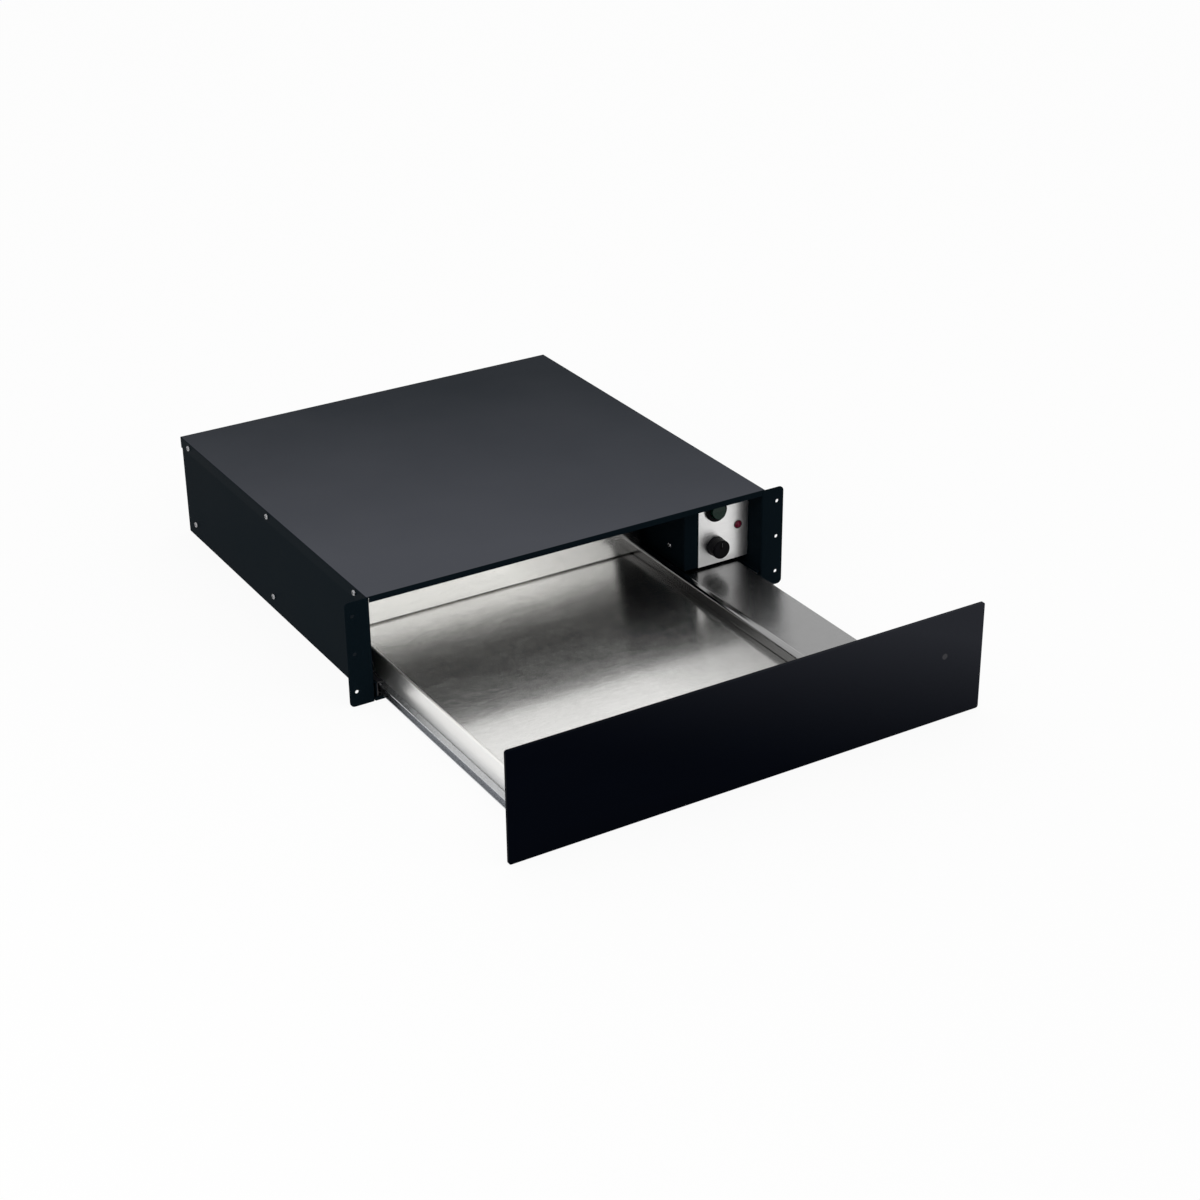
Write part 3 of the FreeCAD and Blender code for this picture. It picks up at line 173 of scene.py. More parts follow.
# Shader maths
class Value:
    """A node's output socket, with the arithmetic that the finishes use."""

    def __init__(self, nodes, socket):
        self.nodes = nodes
        self.socket = socket

    def maths(self, operation, first, second):
        return self.nodes.node("ShaderNodeMath", {"operation": operation}, {0: first, 1: second})

    def __add__(self, other):
        return self.maths("ADD", self, other)

    def __sub__(self, other):
        return self.maths("SUBTRACT", self, other)

    def __rsub__(self, other):
        return self.maths("SUBTRACT", other, self)

    def __mul__(self, other):
        return self.maths("MULTIPLY", self, other)

    def __truediv__(self, other):
        return self.maths("DIVIDE", self, other)

    def __rtruediv__(self, other):
        return self.maths("DIVIDE", other, self)

    def __pow__(self, other):
        return self.maths("POWER", self, other)

    __radd__ = __add__
    __rmul__ = __mul__


class Nodes:
    """A material's or the world's node tree. All its nodes come from node()."""

    def __init__(self, tree):
        self.tree = tree

    def node(self, kind, settings=None, inputs=None, output=0):
        """Adds a node, with its settings first, then the values or links of its sockets."""
        made = self.tree.nodes.new(kind)
        for setting, value in (settings or {}).items():
            if setting == "stops":
                self.set_stops(made.color_ramp, value)
            else:
                setattr(made, setting, value)
        for socket, value in (inputs or {}).items():
            self.feed(made.inputs[socket], value)
        return Value(self, made.outputs[output])

    def set_stops(self, ramp, stops):
        while len(ramp.elements) < len(stops):
            ramp.elements.new(1.0)
        for element, (position, shade) in zip(ramp.elements, stops):
            element.position = position
            element.color = rgba(shade)

    def feed(self, socket, value):
        """Links a node's output to the socket, or sets the socket to a plain value."""
        if isinstance(value, Value):
            self.tree.links.new(value.socket, socket)
        else:
            socket.default_value = value

    def ranged(self, value, low, high, start=0.0, end=1.0):
        """The value between low and high, spread from start to end and held there."""
        return self.node("ShaderNodeMapRange", {"clamp": True},
                         {"Value": value, "From Min": low, "From Max": high, "To Min": start, "To Max": end})

    def seen_directly(self):
        """1 on camera, glossy and transmission rays, and 0 on the rays that only carry light."""
        total = 0.0
        for ray in ("Is Camera Ray", "Is Glossy Ray", "Is Transmission Ray"):
            total = self.node("ShaderNodeLightPath", output=ray) + total
        return self.ranged(total, 0.0, 1.0)

    def blended(self, factor, first, second, end):
        """Mixes two shaders, and feeds the mix to the tree's end node."""
        mix = self.node("ShaderNodeMixShader", inputs={0: factor, 1: first, 2: second})
        self.feed(self.tree.nodes[end].inputs["Surface"], mix)


class Finish(Nodes):
    """One material. Constants are set on its shader, and what varies is fed to it by set()."""

    def __init__(self, name, constants):
        self.material = bpy.data.materials.new(name)
        self.material.use_nodes = True
        super().__init__(self.material.node_tree)
        self.shader = self.tree.nodes["Principled BSDF"]
        for socket, value in constants.items():
            self.shader.inputs[socket].default_value = value

    def set(self, socket, value):
        """Feeds one of the shader's own sockets with something that varies."""
        self.feed(self.shader.inputs[socket], value)

    def place(self):
        """The point on the surface, in metres, in the drawer's own frame."""
        return self.node("ShaderNodeTexCoord", output="Object")

    def facing(self):
        """The direction that the surface faces."""
        return self.node("ShaderNodeNewGeometry", output="Normal")

    def stretched(self, scale):
        """The point on the surface, scaled along each axis by itself."""
        return self.node("ShaderNodeMapping", inputs={"Vector": self.place(), "Scale": scale})

    def part(self, vector, index):
        """One of a vector's three numbers."""
        return self.node("ShaderNodeSeparateXYZ", inputs={0: vector}, output=index)

    def first_channel(self, shade):
        """One number that stands for a grey or for a random colour."""
        return self.node("ShaderNodeSeparateColor", inputs={0: shade})

    def vector(self, operation, inputs):
        return self.node("ShaderNodeVectorMath", {"operation": operation}, inputs)

    def noise(self, vector, scale=1.0, detail=2.0):
        return self.node("ShaderNodeTexNoise", {"noise_dimensions": "3D"},
                         {"Vector": vector, "Scale": scale, "Detail": detail})

    def strokes(self, grain, stroke, line):
        """Long fine lines along the grain, each with its ends at places of its own."""
        along = AXES[grain]
        across = Vector((1, 1, 1)) - along
        ends = self.noise(self.stretched(across * (0.7 / line)), detail=0.0) * 40.0
        place = self.stretched(across / line + along / stroke)
        return self.noise(self.vector("MULTIPLY_ADD", {0: ends, 1: along, 2: place}), detail=0.0)

    def mixed(self, factor, first, second):
        """One colour where the factor is 0, and the other where it is 1."""
        return self.node("ShaderNodeMix", {"data_type": "RGBA"},
                         {"Factor": factor, 6: rgba(first), 7: rgba(second)}, output=2)

    def bumped(self, height, depth):
        return self.node("ShaderNodeBump", inputs={"Height": height, "Distance": depth})

    def tipped(self, amount, grain):
        """The surface's own direction, tipped across the grain by the amount."""
        normal = self.facing()
        across = self.vector("CROSS_PRODUCT", {0: normal, 1: AXES[grain]})
        lean = self.vector("SCALE", {0: across, "Scale": amount})
        return self.vector("NORMALIZE", {0: self.vector("ADD", {0: normal, 1: lean})})


def rgba(shade):
    """A colour with its fourth number, or a node's output as it is."""
    if isinstance(shade, Value):
        return shade
    return (shade[0], shade[1], shade[2], 1.0)


def scaled(shade, factor):
    """A darker or lighter shade, held at white."""
    return tuple(min(1.0, part * factor) for part in shade)


# Finishes
def powder_coat(name, shade, peel, roughness, gloss, painted_sheen=None):
    """Baked powder coat: a fine orange peel, and a little unevenness in shade and shine.

    Where painted_sheen is given, the level top is painted that lighter shade as a painted sheen, most of all
    towards the front.
    """
    finish = Finish(name, {"Specular IOR Level": gloss})
    place = finish.place()
    broad = finish.noise(place, 7.0, 3.0)
    speck = finish.noise(place, 0.6 / peel, 1.0)
    coat = finish.mixed(broad * 0.7 + speck * 0.3, scaled(shade, 0.82), scaled(shade, 1.22))
    # Painted sheen: the level top is painted lighter than the lips, most of all towards the front.
    if painted_sheen:
        level = finish.ranged(finish.part(finish.facing(), 2), 0.7, 0.98)
        near = finish.part(place, 0) * 0.45 + finish.part(place, 1) + broad * 0.12
        sheen_mask = finish.ranged(near, 0.36, -0.2, 0.3, 1.0)
        coat = finish.mixed(level * sheen_mask, coat, painted_sheen)
    finish.set("Base Color", coat)
    finish.set("Roughness", finish.ranged(broad, 0.25, 0.75, roughness - 0.03, roughness + 0.04))
    finish.set("Normal", finish.bumped(finish.noise(place, 1.0 / peel), 0.04 * MM))
    return finish.material


def brushed_steel(name, shade, grain, settings, roughness=0.1, depth=1.0, painted_shade=None):
    """Brushed sheet. Fine lines along the grain tip the surface, so reflections smear across them.

    Most lines tip it a little, and a few tip it far, which leaves a haze beside each reflection.
    Where painted_shade is given, the sheet is painted darker towards the right with it, as painted shade.
    """
    finish = Finish(name, {"Metallic": 1.0})
    place = finish.place()
    lines = finish.strokes(grain, settings.stroke, settings.line)
    bands = finish.strokes(grain, settings.stroke * 4, settings.line * 8)
    cloud = finish.noise(place, 5.0)
    shine = finish.ranged(lines * 0.6 + bands * 0.4, 0.3, 0.7)
    sheet = finish.mixed(shine, scaled(shade, 0.94), scaled(shade, 1.02))
    # Painted shade: the sheet is painted darker towards the right.
    if painted_shade:
        right = finish.part(place, 0) + cloud * 0.04
        sheet = finish.mixed(finish.ranged(right, 0.01, 0.18), sheet, painted_shade)
    finish.set("Base Color", sheet)
    finish.set("Roughness",
               finish.ranged(lines * 0.7 + cloud * 0.3, 0.3, 0.7, roughness - 0.01, roughness + 0.03))
    lean = (lines - 0.5) * 2.0
    far = lean * lean * lean * settings.haze
    finish.set("Normal", finish.tipped((lean + far) * (settings.tilt * depth), grain))
    return finish.material


def plated(name, shade, roughness):
    """Zinc plate: bright, with a faint mottle."""
    finish = Finish(name, {"Metallic": 1.0})
    mottle = finish.noise(finish.place(), 260.0, 3.0)
    finish.set("Base Color", finish.mixed(mottle, scaled(shade, 0.85), scaled(shade, 1.1)))
    finish.set("Roughness", finish.ranged(mottle, 0.3, 0.7, roughness - 0.04, roughness + 0.06))
    finish.set("Normal", finish.bumped(mottle, 0.01 * MM))
    return finish.material


def galvanised(name, shade, spangle):
    """Hot-dipped sheet, with crystals of zinc that each catch the light a little differently."""
    finish = Finish(name, {"Metallic": 0.9})
    place = finish.place()
    crystal = finish.node("ShaderNodeTexVoronoi", {"feature": "F1"},
                          {"Vector": place, "Scale": 1.0 / spangle}, output="Color")
    tone = finish.first_channel(crystal)
    finish.set("Base Color", finish.mixed(tone, scaled(shade, 0.75), scaled(shade, 1.2)))
    finish.set("Roughness", finish.ranged(tone, 0.0, 1.0, 0.32, 0.5))
    finish.set("Normal", finish.bumped(finish.noise(place, 3.0 / spangle), 0.03 * MM))
    return finish.material


def painted_glass(name, shade, glow):
    """Glass painted black on its back: a polished face with the faintest wipe marks.

    Its tone grows paler towards the upper right corner: a painted reflection of a pale room on such a sheet.
    """
    finish = Finish(name, {"Specular IOR Level": 0.008})
    place = finish.place()
    wipe = finish.noise(finish.stretched((4.0, 4.0, 26.0)), detail=3.0)
    paint = finish.mixed(wipe, scaled(shade, 0.8), scaled(shade, 1.25))
    # Painted reflection: paler towards the upper right corner.
    painted_reflection_ramp = finish.part(place, 2) * 2.4 + finish.part(place, 0)
    pale = finish.ranged(painted_reflection_ramp, 0.0, 0.5)
    finish.set("Base Color", finish.mixed(pale * pale, paint, glow))
    finish.set("Roughness", finish.ranged(wipe, 0.35, 0.75, 0.025, 0.06))
    return finish.material


def clear_lens(name, shade):
    """A small clear lens over a dark hole."""
    finish = Finish(name, {"Specular IOR Level": 0.12})
    grain = finish.noise(finish.place(), 900.0, 1.0)
    finish.set("Base Color", finish.mixed(grain, scaled(shade, 0.85), scaled(shade, 1.15)))
    finish.set("Roughness", finish.ranged(grain, 0.3, 0.7, 0.1, 0.18))
    return finish.material


def moulded(name, shade, roughness, grain=0.4 * MM, depth=0.02 * MM, gloss=0.5):
    """Moulded plastic or rubber, with the fine grain of its mould."""
    finish = Finish(name, {"Specular IOR Level": gloss})
    place = finish.place()
    texture = finish.noise(place, 1.0 / grain)
    cloud = finish.noise(place, 40.0)
    mottle = texture * 0.4 + cloud * 0.6
    finish.set("Base Color", finish.mixed(mottle, scaled(shade, 0.85), scaled(shade, 1.15)))
    finish.set("Roughness", finish.ranged(cloud, 0.3, 0.7, roughness - 0.03, roughness + 0.04))
    finish.set("Normal", finish.bumped(texture, depth))
    return finish.material


def tinted_lens(name, shade, cell):
    """A tinted plastic lens with a fine prism pattern on its inside."""
    finish = Finish(name, {"Specular IOR Level": 0.2})
    cells = finish.node("ShaderNodeTexVoronoi", {"feature": "DISTANCE_TO_EDGE"},
                        {"Vector": finish.place(), "Scale": 1.0 / cell}, output="Distance")
    edge = finish.ranged(cells, 0.0, 0.25)
    finish.set("Base Color", finish.mixed(edge, scaled(shade, 0.55), scaled(shade, 1.15)))
    finish.set("Roughness", finish.ranged(edge, 0.0, 1.0, 0.2, 0.12))
    return finish.material


def drawn_copper(name, shade, pitch, depth):
    """Copper wire or tube, with ridges that lie one beside the other along X."""
    finish = Finish(name, {"Metallic": 1.0})
    place = finish.place()
    ridges = finish.node("ShaderNodeTexWave", {"bands_direction": "X", "wave_profile": "SIN"},
                         {"Vector": place, "Scale": 1.0 / (pitch * 20.0), "Distortion": 0.4})
    ridge = finish.first_channel(ridges)
    tarnish = finish.noise(place, 60.0, 3.0)
    finish.set("Base Color", finish.mixed(tarnish, scaled(shade, 0.7), scaled(shade, 1.15)))
    finish.set("Roughness", finish.ranged(tarnish, 0.3, 0.7, 0.26, 0.4))
    finish.set("Normal", finish.bumped(ridge, depth))
    return finish.material


def stacked_iron(name, shade, pitch):
    """The edges of stacked laminations, with thin dark lines between them."""
    finish = Finish(name, {"Metallic": 0.8})
    place = finish.place()
    stack = finish.node("ShaderNodeTexWave", {"bands_direction": "Y", "wave_profile": "SAW"},
                        {"Vector": place, "Scale": 1.0 / (pitch * 20.0)})
    layer = finish.first_channel(stack)
    rust = finish.noise(place, 90.0, 4.0)
    finish.set("Base Color", finish.mixed(layer * 0.6 + rust * 0.4, scaled(shade, 0.5), scaled(shade, 1.2)))
    finish.set("Roughness", finish.ranged(rust, 0.3, 0.7, 0.4, 0.6))
    finish.set("Normal", finish.bumped(layer, 0.08 * MM))
    return finish.material


def heated_sheath(name, shade, straw, blue):
    """Steel that heat has darkened and tinted in soft patches."""
    finish = Finish(name, {"Metallic": 1.0})
    patch = finish.noise(finish.place(), 45.0, 3.0)
    tints = [(0.35, scaled(shade, 0.6)), (0.5, shade), (0.62, straw), (0.72, blue)]
    finish.set("Base Color", finish.node("ShaderNodeValToRGB", {"stops": tints}, {0: patch}))
    finish.set("Roughness", finish.ranged(patch, 0.3, 0.7, 0.3, 0.5))
    finish.set("Normal", finish.bumped(patch, 0.03 * MM))
    return finish.material


# Helpers for pieces
def dress(material, *nodes):
    """Gives CAD nodes a finish, through their objects' material slots."""
    for name in nodes:
        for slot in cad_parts[name].material_slots:
            slot.material = material


def piece(name, mesh, material, body):
    """A new piece that rides on a body, with the given finish."""
    made = bpy.data.objects.new(name, mesh)
    bpy.context.scene.collection.objects.link(made)
    made.data.materials.append(material)
    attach(made, body)
    return made


def finished_mesh(shell, name):
    """Turns a bmesh into a mesh that is smooth across shallow angles and crisp across steep ones."""
    smooth_below = math.radians(35.0)
    bmesh.ops.recalc_face_normals(shell, faces=shell.faces)
    for face in shell.faces:
        face.smooth = True
    for edge in shell.edges:
        edge.smooth = len(edge.link_faces) == 2 and edge.calc_face_angle(0.0) < smooth_below
    mesh = bpy.data.meshes.new(name)
    shell.to_mesh(mesh)
    shell.free()
    return mesh


def bevel(made, width, segments=3):
    """Rounds the sharp edges of a piece."""
    edges = made.modifiers.new("edges", "BEVEL")
    edges.width = width
    edges.segments = segments
    edges.limit_method = "ANGLE"
    edges.angle_limit = math.radians(30.0)
    edges.harden_normals = True


def turned_about_y(shell, profile, centre, segments, radius_at):
    """A turned shape about the Y axis through the centre, closed by a point.

    The profile is a list of (radius, y), and radius_at gives each point's own radius.
    """
    rings = []
    for radius, y in profile:
        if radius == 0.0:
            rings.append([shell.verts.new((centre.x, y, centre.z))])
            continue
        ring = []
        for i in range(segments):
            turn = 2 * math.pi * i / segments
            r = radius_at(radius, y, turn)
            ring.append(shell.verts.new((centre.x + r * math.cos(turn), y, centre.z + r * math.sin(turn))))
        rings.append(ring)
    for ring, following in zip(rings, rings[1:]):
        join_rings(shell, ring, following)


def join_rings(shell, ring, following):
    for i in range(len(ring)):
        k = (i + 1) % len(ring)
        if len(following) == 1:
            shell.faces.new((ring[i], ring[k], following[0]))
        else:
            shell.faces.new((ring[i], ring[k], following[k], following[i]))


def arc_points(centre_r, centre_y, radius, start, end, count):
    """Points (radius, y) along an arc of a profile. Angles are in degrees from the outward direction."""
    points = []
    for i in range(count + 1):
        turn = math.radians(start + (end - start) * i / count)
        points.append((centre_r + radius * math.cos(turn), centre_y + radius * math.sin(turn)))
    return points


def add_box(shell, low, high):
    """A box between two corners."""
    corners = bmesh.ops.create_cube(shell, size=1.0)["verts"]
    for corner in corners:
        for i in range(3):
            corner.co[i] = low[i] + (corner.co[i] + 0.5) * (high[i] - low[i])


# Operators, one for each piece or group of like pieces
class DressCasing(bpy.types.Operator):
    """Paint the casing, its flanges and the control box with black powder coat"""
    bl_idname = "warming_drawer.dress_casing"
    bl_label = "Paint casing"

    def execute(self, context):
        paint = context.scene.drawer_paint
        coat = powder_coat("casing powder coat", paint.casing, paint.peel, 0.48, paint.casing_gloss)
        dress(coat, "base_plate", "side_panel_left", "side_panel_right", "rear_panel",
              "mounting_flange_left", "mounting_flange_right", "control_box", "control_box_floor",
              "slide_bracket_left", "slide_bracket_right", "front_pan")
        return {"FINISHED"}


class DressCover(bpy.types.Operator):
    """Paint the top cover with satin powder coat"""
    bl_idname = "warming_drawer.dress_cover"
    bl_label = "Paint cover"

    def execute(self, context):
        paint = context.scene.drawer_paint
        # The cover's level top takes paint.cover as a painted sheen.
        dress(powder_coat("cover powder coat", paint.casing, paint.peel, 0.4, paint.cover_gloss, paint.cover),
              "top_cover")
        return {"FINISHED"}


class DressTray(bpy.types.Operator):
    """Brush the tray, its walls and the rear baffle, each along its own sheet"""
    bl_idname = "warming_drawer.dress_tray"
    bl_label = "Brush tray"

    def execute(self, context):
        steel = context.scene.drawer_steel
        # Painted light and shade: the left wall takes a lighter copy of the floor's steel, and the rear wall,
        # baffle and inner front panel a darker one.
        side = scaled(steel.stainless, 1.12)
        wall = scaled(steel.stainless, 0.88)
        # The floor's painted shade towards its right.
        painted_shade = scaled(steel.stainless, steel.painted_shade)
        dress(brushed_steel("floor steel", steel.stainless, "x", steel, painted_shade=painted_shade), "tray_floor")
        dress(brushed_steel("wall steel", wall, "x", steel, depth=0.5), "tray_rear_wall", "rear_baffle",
              "inner_front_panel")
        dress(brushed_steel("side steel", side, "y", steel, roughness=0.32), "tray_side_left")
        # Painted shade: the shelf and its rail take a much darker copy of the tray's steel.
        dress(brushed_steel("shelf steel", steel.shelf, "x", steel, roughness=0.18), "side_shelf")
        dress(brushed_steel("rail steel", steel.shelf, "y", steel, roughness=0.12, depth=0.25),
              "divider_rail")
        return {"FINISHED"}


class DressFront(bpy.types.Operator):
    """Finish the front glass, its window and the rubber bumpers"""
    bl_idname = "warming_drawer.dress_front"
    bl_label = "Finish front"

    def execute(self, context):
        front = context.scene.drawer_front
        # front.glow is the glass's painted reflection.
        dress(painted_glass("black glass", front.glass, front.glow), "glass_front")
        dress(clear_lens("window lens", front.window), "indicator_window")
        dress(moulded("bumper rubber", front.rubber, 0.75, gloss=0.3), "front_bumpers")
        return {"FINISHED"}


class DressSlides(bpy.types.Operator):
    """Finish the ball slides"""
    bl_idname = "warming_drawer.dress_slides"
    bl_label = "Finish slides"

    def execute(self, context):
        steel = context.scene.drawer_steel
        inside = context.scene.drawer_inside
        dress(plated("slide zinc", steel.zinc, 0.28), "slide_drawer_member_left", "slide_drawer_member_right",
              "ball_cage_left", "ball_cage_right")
        dress(moulded("slide black", inside.slide, 0.4), "slide_cabinet_member_left",
              "slide_cabinet_member_right")
        dress(plated("ball steel", inside.ball, 0.08), "slide_balls_left", "slide_balls_right")
        return {"FINISHED"}


class DressScrews(bpy.types.Operator):
    """Plate the screws, the nuts and the shafts"""
    bl_idname = "warming_drawer.dress_screws"
    bl_label = "Plate screws"

    def execute(self, context):
        steel = context.scene.drawer_steel
        dress(plated("screw zinc", steel.screw, 0.24), "casing_screws", "rear_screws", "front_screws",
              "box_screws", "thermostat_nut", "thermostat_stem", "fan_nut", "fan_shaft")
        return {"FINISHED"}


class BuildKnob(bpy.types.Operator):
    """Turn the thermostat knob, with its grip flutes, dished face and pointer"""
    bl_idname = "warming_drawer.build_knob"
    bl_label = "Turn knob"

    def execute(self, context):
        controls = context.scene.drawer_controls
        low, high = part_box("thermostat_knob")
        centre = (low + high) / 2
        face = low.y + 0.9 * MM
        outer = (high.x - low.x) / 2
        rim = outer - 2.0 * MM
        plastic = moulded("knob plastic", controls.knob, 0.2, 0.5 * MM, 0.006 * MM, gloss=0.05)
        shell = self.turn_cap(controls, centre, face, high.y, outer, rim)
        cap = piece("knob_cap", finished_mesh(shell, "knob_cap"), plastic, "knob")
        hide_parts("thermostat_knob")
        self.add_pointer(controls, plastic, centre, face, rim)
        return {"FINISHED"}

    def turn_cap(self, controls, centre, face, back, outer, rim):
        """The hollow back, the skirt, the fluted grip and the dished face, in that order."""
        rounding = 1.4 * MM
        front_radius = rim + rounding
        skirt = back - 1.6 * MM
        chamfer = 0.3 * MM
        grip_radius = outer - chamfer
        grip_start = skirt - 0.2 * MM
        grip_end = face + rounding
        bore = 9.0 * MM
        bore_depth = 3.2 * MM
        grip_rings = 8
        face_rings = 6

        def fluted(radius, y, turn):
            if not grip_end < y < skirt:
                return radius
            return radius - controls.flute_depth * (0.5 - 0.5 * math.cos(controls.flutes * turn))

        profile = [(bore, back - bore_depth), (bore, back), (grip_radius, back), (outer, back - chamfer),
                   (outer, skirt), (grip_radius, grip_start)]
        for i in range(1, grip_rings):
            step = i / grip_rings
            profile.append((grip_radius + (front_radius - grip_radius) * step,
                            grip_start + (grip_end - grip_start) * step))
        profile += arc_points(rim, grip_end, rounding, 0, -90, 6)
        for i in range(1, face_rings + 1):
            radius = rim * (1 - i / face_rings)
            profile.append((radius, face + controls.dish * (1 - (radius / rim) ** 2)))
        shell = bmesh.new()
        turned_about_y(shell, profile, centre, controls.flutes * 8, fluted)
        return shell

    def add_pointer(self, controls, plastic, centre, face, rim):
        """The raised pointer, and the printed line along its top."""
        half = 1.3 * MM
        top = face - 0.7 * MM
        start = centre.z + 1.5 * MM
        line_half = 0.3 * MM
        line_rise = 0.04 * MM
        shell = bmesh.new()
        add_box(shell, (centre.x - half, top, start),
                (centre.x + half, face + controls.dish, centre.z + rim))
        pointer = piece("knob_pointer", finished_mesh(shell, "knob_pointer"), plastic, "knob")
        bevel(pointer, 0.35 * MM)
        shell = bmesh.new()
        add_box(shell, (centre.x - line_half, top - line_rise, start + 2.5 * MM),
                (centre.x + line_half, top + 0.1 * MM, centre.z + rim - 0.6 * MM))
        line = piece("knob_line", finished_mesh(shell, "knob_line"),
                     moulded("printed mark", controls.mark, 0.5), "knob")
        bevel(line, 0.03 * MM, 1)


class DressControls(bpy.types.Operator):
    """Finish the control panel, the switch, the pilot lamp and the thermostat"""
    bl_idname = "warming_drawer.dress_controls"
    bl_label = "Finish controls"

    def execute(self, context):
        controls = context.scene.drawer_controls
        steel = context.scene.drawer_steel
        inside = context.scene.drawer_inside
        dress(brushed_steel("panel steel", steel.panel, "x", steel, roughness=0.3), "control_panel")
        dress(moulded("switch plastic", controls.bezel, 0.4, 0.3 * MM, gloss=0.03), "switch_body")
        dress(tinted_lens("rocker lens", controls.rocker, 1.2 * MM), "switch_rocker")
        dress(tinted_lens("lamp lens", controls.lamp, 0.9 * MM), "lamp_lens")
        dress(moulded("thermostat case", inside.case, 0.45), "thermostat_body", "lamp_body")
        dress(drawn_copper("capillary copper", inside.copper, 4.0 * MM, 0.004 * MM), "capillary_bulb")
        return {"FINISHED"}


class DressFan(bpy.types.Operator):
    """Finish the fan, its motor and the ring heater"""
    bl_idname = "warming_drawer.dress_fan"
    bl_label = "Finish fan"

    def execute(self, context):
        inside = context.scene.drawer_inside
        dress(galvanised("galvanised sheet", inside.sheet, 9.0 * MM), "fan_housing", "fan_motor_brackets",
              "latch_striker", "thermal_cutout")
        dress(plated("pressed aluminium", inside.aluminium, 0.35), "fan_impeller")
        dress(heated_sheath("heater sheath", inside.sheath, inside.straw, inside.blue), "heating_element")
        dress(stacked_iron("laminations", inside.iron, 0.5 * MM), "fan_motor_stator")
        dress(drawn_copper("enamelled winding", inside.winding, 0.4 * MM, 0.12 * MM), "fan_motor_coil")
        return {"FINISHED"}


class DressElectrics(bpy.types.Operator):
    """Finish the terminal block, the gland, the wires and the push latch"""
    bl_idname = "warming_drawer.dress_electrics"
    bl_label = "Finish electrics and latch"

    def execute(self, context):
        inside = context.scene.drawer_inside
        dress(moulded("pale moulding", inside.block, 0.5), "terminal_block")
        dress(moulded("gland nylon", inside.gland, 0.42), "cable_gland")
        dress(moulded("wire cover", inside.wire, 0.45, 0.6 * MM), "wiring")
        dress(moulded("latch acetal", inside.latch, 0.35), "push_latch_body", "push_latch_plunger")
        dress(plated("spring wire", context.scene.drawer_steel.zinc, 0.3), "push_latch_spring")
        return {"FINISHED"}


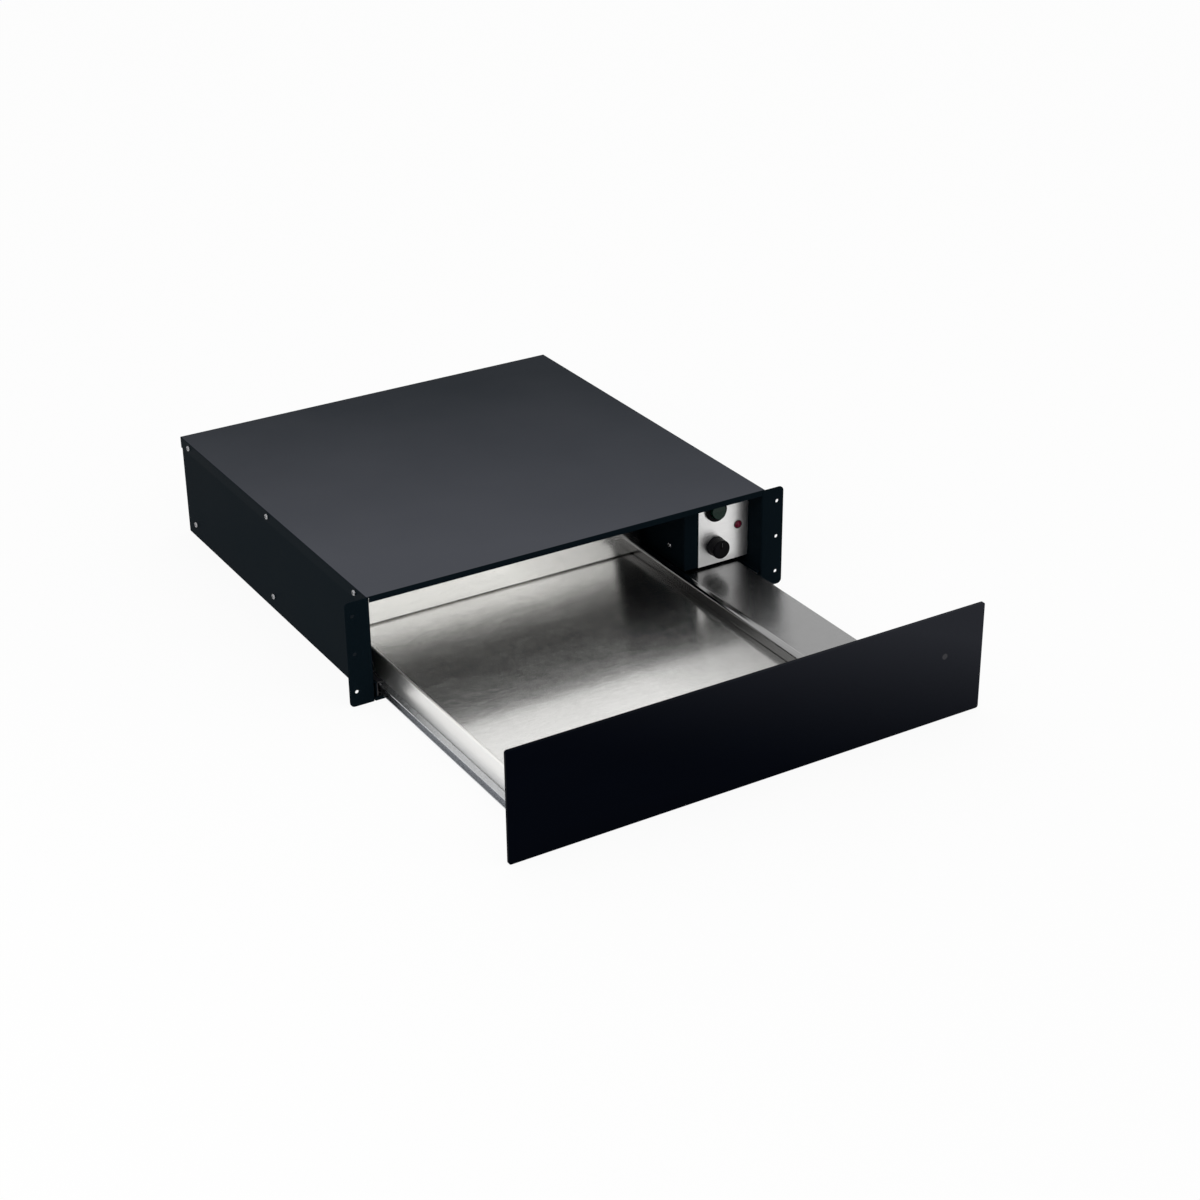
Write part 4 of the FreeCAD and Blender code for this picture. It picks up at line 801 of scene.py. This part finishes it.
class BuildStage(bpy.types.Operator):
    """Lay the pale floor, set the soft lights and place the camera"""
    bl_idname = "warming_drawer.build_stage"
    bl_label = "Build stage"

    def execute(self, context):
        settings = context.scene.drawer_stage
        context.scene.view_settings.view_transform = "Standard"
        self.lay_floor(settings)
        self.set_world(context, settings)
        self.hang_lamps()
        self.place_camera(context, settings)
        return {"FINISHED"}

    def lay_floor(self, settings):
        """A wide disc. The camera, metal and glass see it nearly white, with the object's shadow on it."""
        finish = Finish("pale floor", {"Specular IOR Level": 0.1, "Roughness": 0.9})
        grain = finish.noise(finish.place(), 30.0, 3.0)
        shade = settings.floor
        finish.set("Base Color", finish.mixed(grain, scaled(shade, 0.99), scaled(shade, 1.01)))
        glow = finish.node("ShaderNodeEmission", inputs={"Color": WHITE, "Strength": 1.0})
        lit = Value(finish, finish.shader.outputs[0])
        finish.blended(finish.seen_directly() * settings.bright, lit, glow, "Material Output")
        shell = bmesh.new()
        bmesh.ops.create_circle(shell, cap_ends=True, segments=96, radius=FLOOR_RADIUS)
        mesh = bpy.data.meshes.new("floor")
        shell.to_mesh(mesh)
        shell.free()
        floor = bpy.data.objects.new("floor", mesh)
        floor.location.z = cad_low.z - FLOOR_GAP
        bpy.context.scene.collection.objects.link(floor)
        mesh.materials.append(finish.material)

    def set_world(self, context, settings):
        """A plain sky: white where it is seen directly, and a soft grey light elsewhere."""
        world = bpy.data.worlds.new("studio")
        world.use_nodes = True
        context.scene.world = world
        nodes = Nodes(world.node_tree)
        sky = world.node_tree.nodes["Background"]
        nodes.feed(sky.inputs["Color"], WHITE)
        nodes.feed(sky.inputs["Strength"], settings.sky)
        white = nodes.node("ShaderNodeBackground", inputs={"Color": WHITE, "Strength": 1.0})
        nodes.blended(nodes.seen_directly(), Value(nodes, sky.outputs[0]), white, "World Output")

    def hang_lamps(self):
        """Large soft lamps: one high in front, and one low on the left."""
        hang_lamp("front softbox", (0.9, -2.4, 1.7), size=1.8, power=5.6)
        hang_lamp("left softbox", (-1.25, -0.75, 0.9), size=0.8, power=3.0)

    def place_camera(self, context, settings):
        data = bpy.data.cameras.new("camera")
        data.sensor_width = 36.0
        data.lens = settings.lens
        camera = bpy.data.objects.new("camera", data)
        context.scene.collection.objects.link(camera)
        azimuth = settings.azimuth
        rise = settings.elevation
        across = Vector((math.cos(azimuth), math.sin(azimuth), 0.0))
        level = math.cos(rise)
        back = Vector((math.sin(azimuth) * level, -math.cos(azimuth) * level, math.sin(rise)))
        up = back.cross(across)
        turn = Matrix((across, up, back)).transposed() @ Matrix.Rotation(settings.roll, 3, "Z")
        camera.matrix_world = Matrix.Translation(Vector(settings.place)) @ turn.to_4x4()
        context.scene.camera = camera


def hang_lamp(name, place, size, power):
    """A square area lamp that points at the drawer."""
    data = bpy.data.lights.new(name, "AREA")
    data.shape = "SQUARE"
    data.size = size
    data.energy = power
    lamp = bpy.data.objects.new(name, data)
    bpy.context.scene.collection.objects.link(lamp)
    lamp.location = place
    lamp.rotation_mode = "QUATERNION"
    lamp.rotation_quaternion = (Vector(LAMP_TARGET) - Vector(place)).to_track_quat("-Z", "Y")


class DrawerPanel(bpy.types.Panel):
    """Lists the steps that finish the drawer"""
    bl_idname = "VIEW3D_PT_warming_drawer"
    bl_label = "Warming Drawer"
    bl_space_type = "VIEW_3D"
    bl_region_type = "UI"
    bl_category = "Warming Drawer"

    def draw(self, context):
        for step in steps:
            self.layout.operator(step.bl_idname)
        for attribute, group in groups.items():
            for name in group.__annotations__:
                self.layout.prop(getattr(context.scene, attribute), name)


groups = {"drawer_paint": PaintSettings, "drawer_steel": SteelSettings, "drawer_front": FrontSettings,
          "drawer_controls": ControlSettings, "drawer_inside": InsideSettings, "drawer_stage": StageSettings}
steps = (BuildStage, DressCasing, DressCover, DressTray, DressFront, DressSlides, DressScrews, BuildKnob,
         DressControls, DressFan, DressElectrics)


def register():
    for group in groups.values():
        bpy.utils.register_class(group)
    for step in steps:
        bpy.utils.register_class(step)
    bpy.utils.register_class(DrawerPanel)
    for name, group in groups.items():
        setattr(bpy.types.Scene, name, bpy.props.PointerProperty(type=group))


def unregister():
    for name in groups:
        delattr(bpy.types.Scene, name)
    bpy.utils.unregister_class(DrawerPanel)
    for step in reversed(steps):
        bpy.utils.unregister_class(step)
    for group in reversed(groups.values()):
        bpy.utils.unregister_class(group)


def main():
    register()
    for step in steps:
        name = step.bl_idname.split(".")[1]
        getattr(bpy.ops.warming_drawer, name)()


if __name__ == "__main__":
    main()
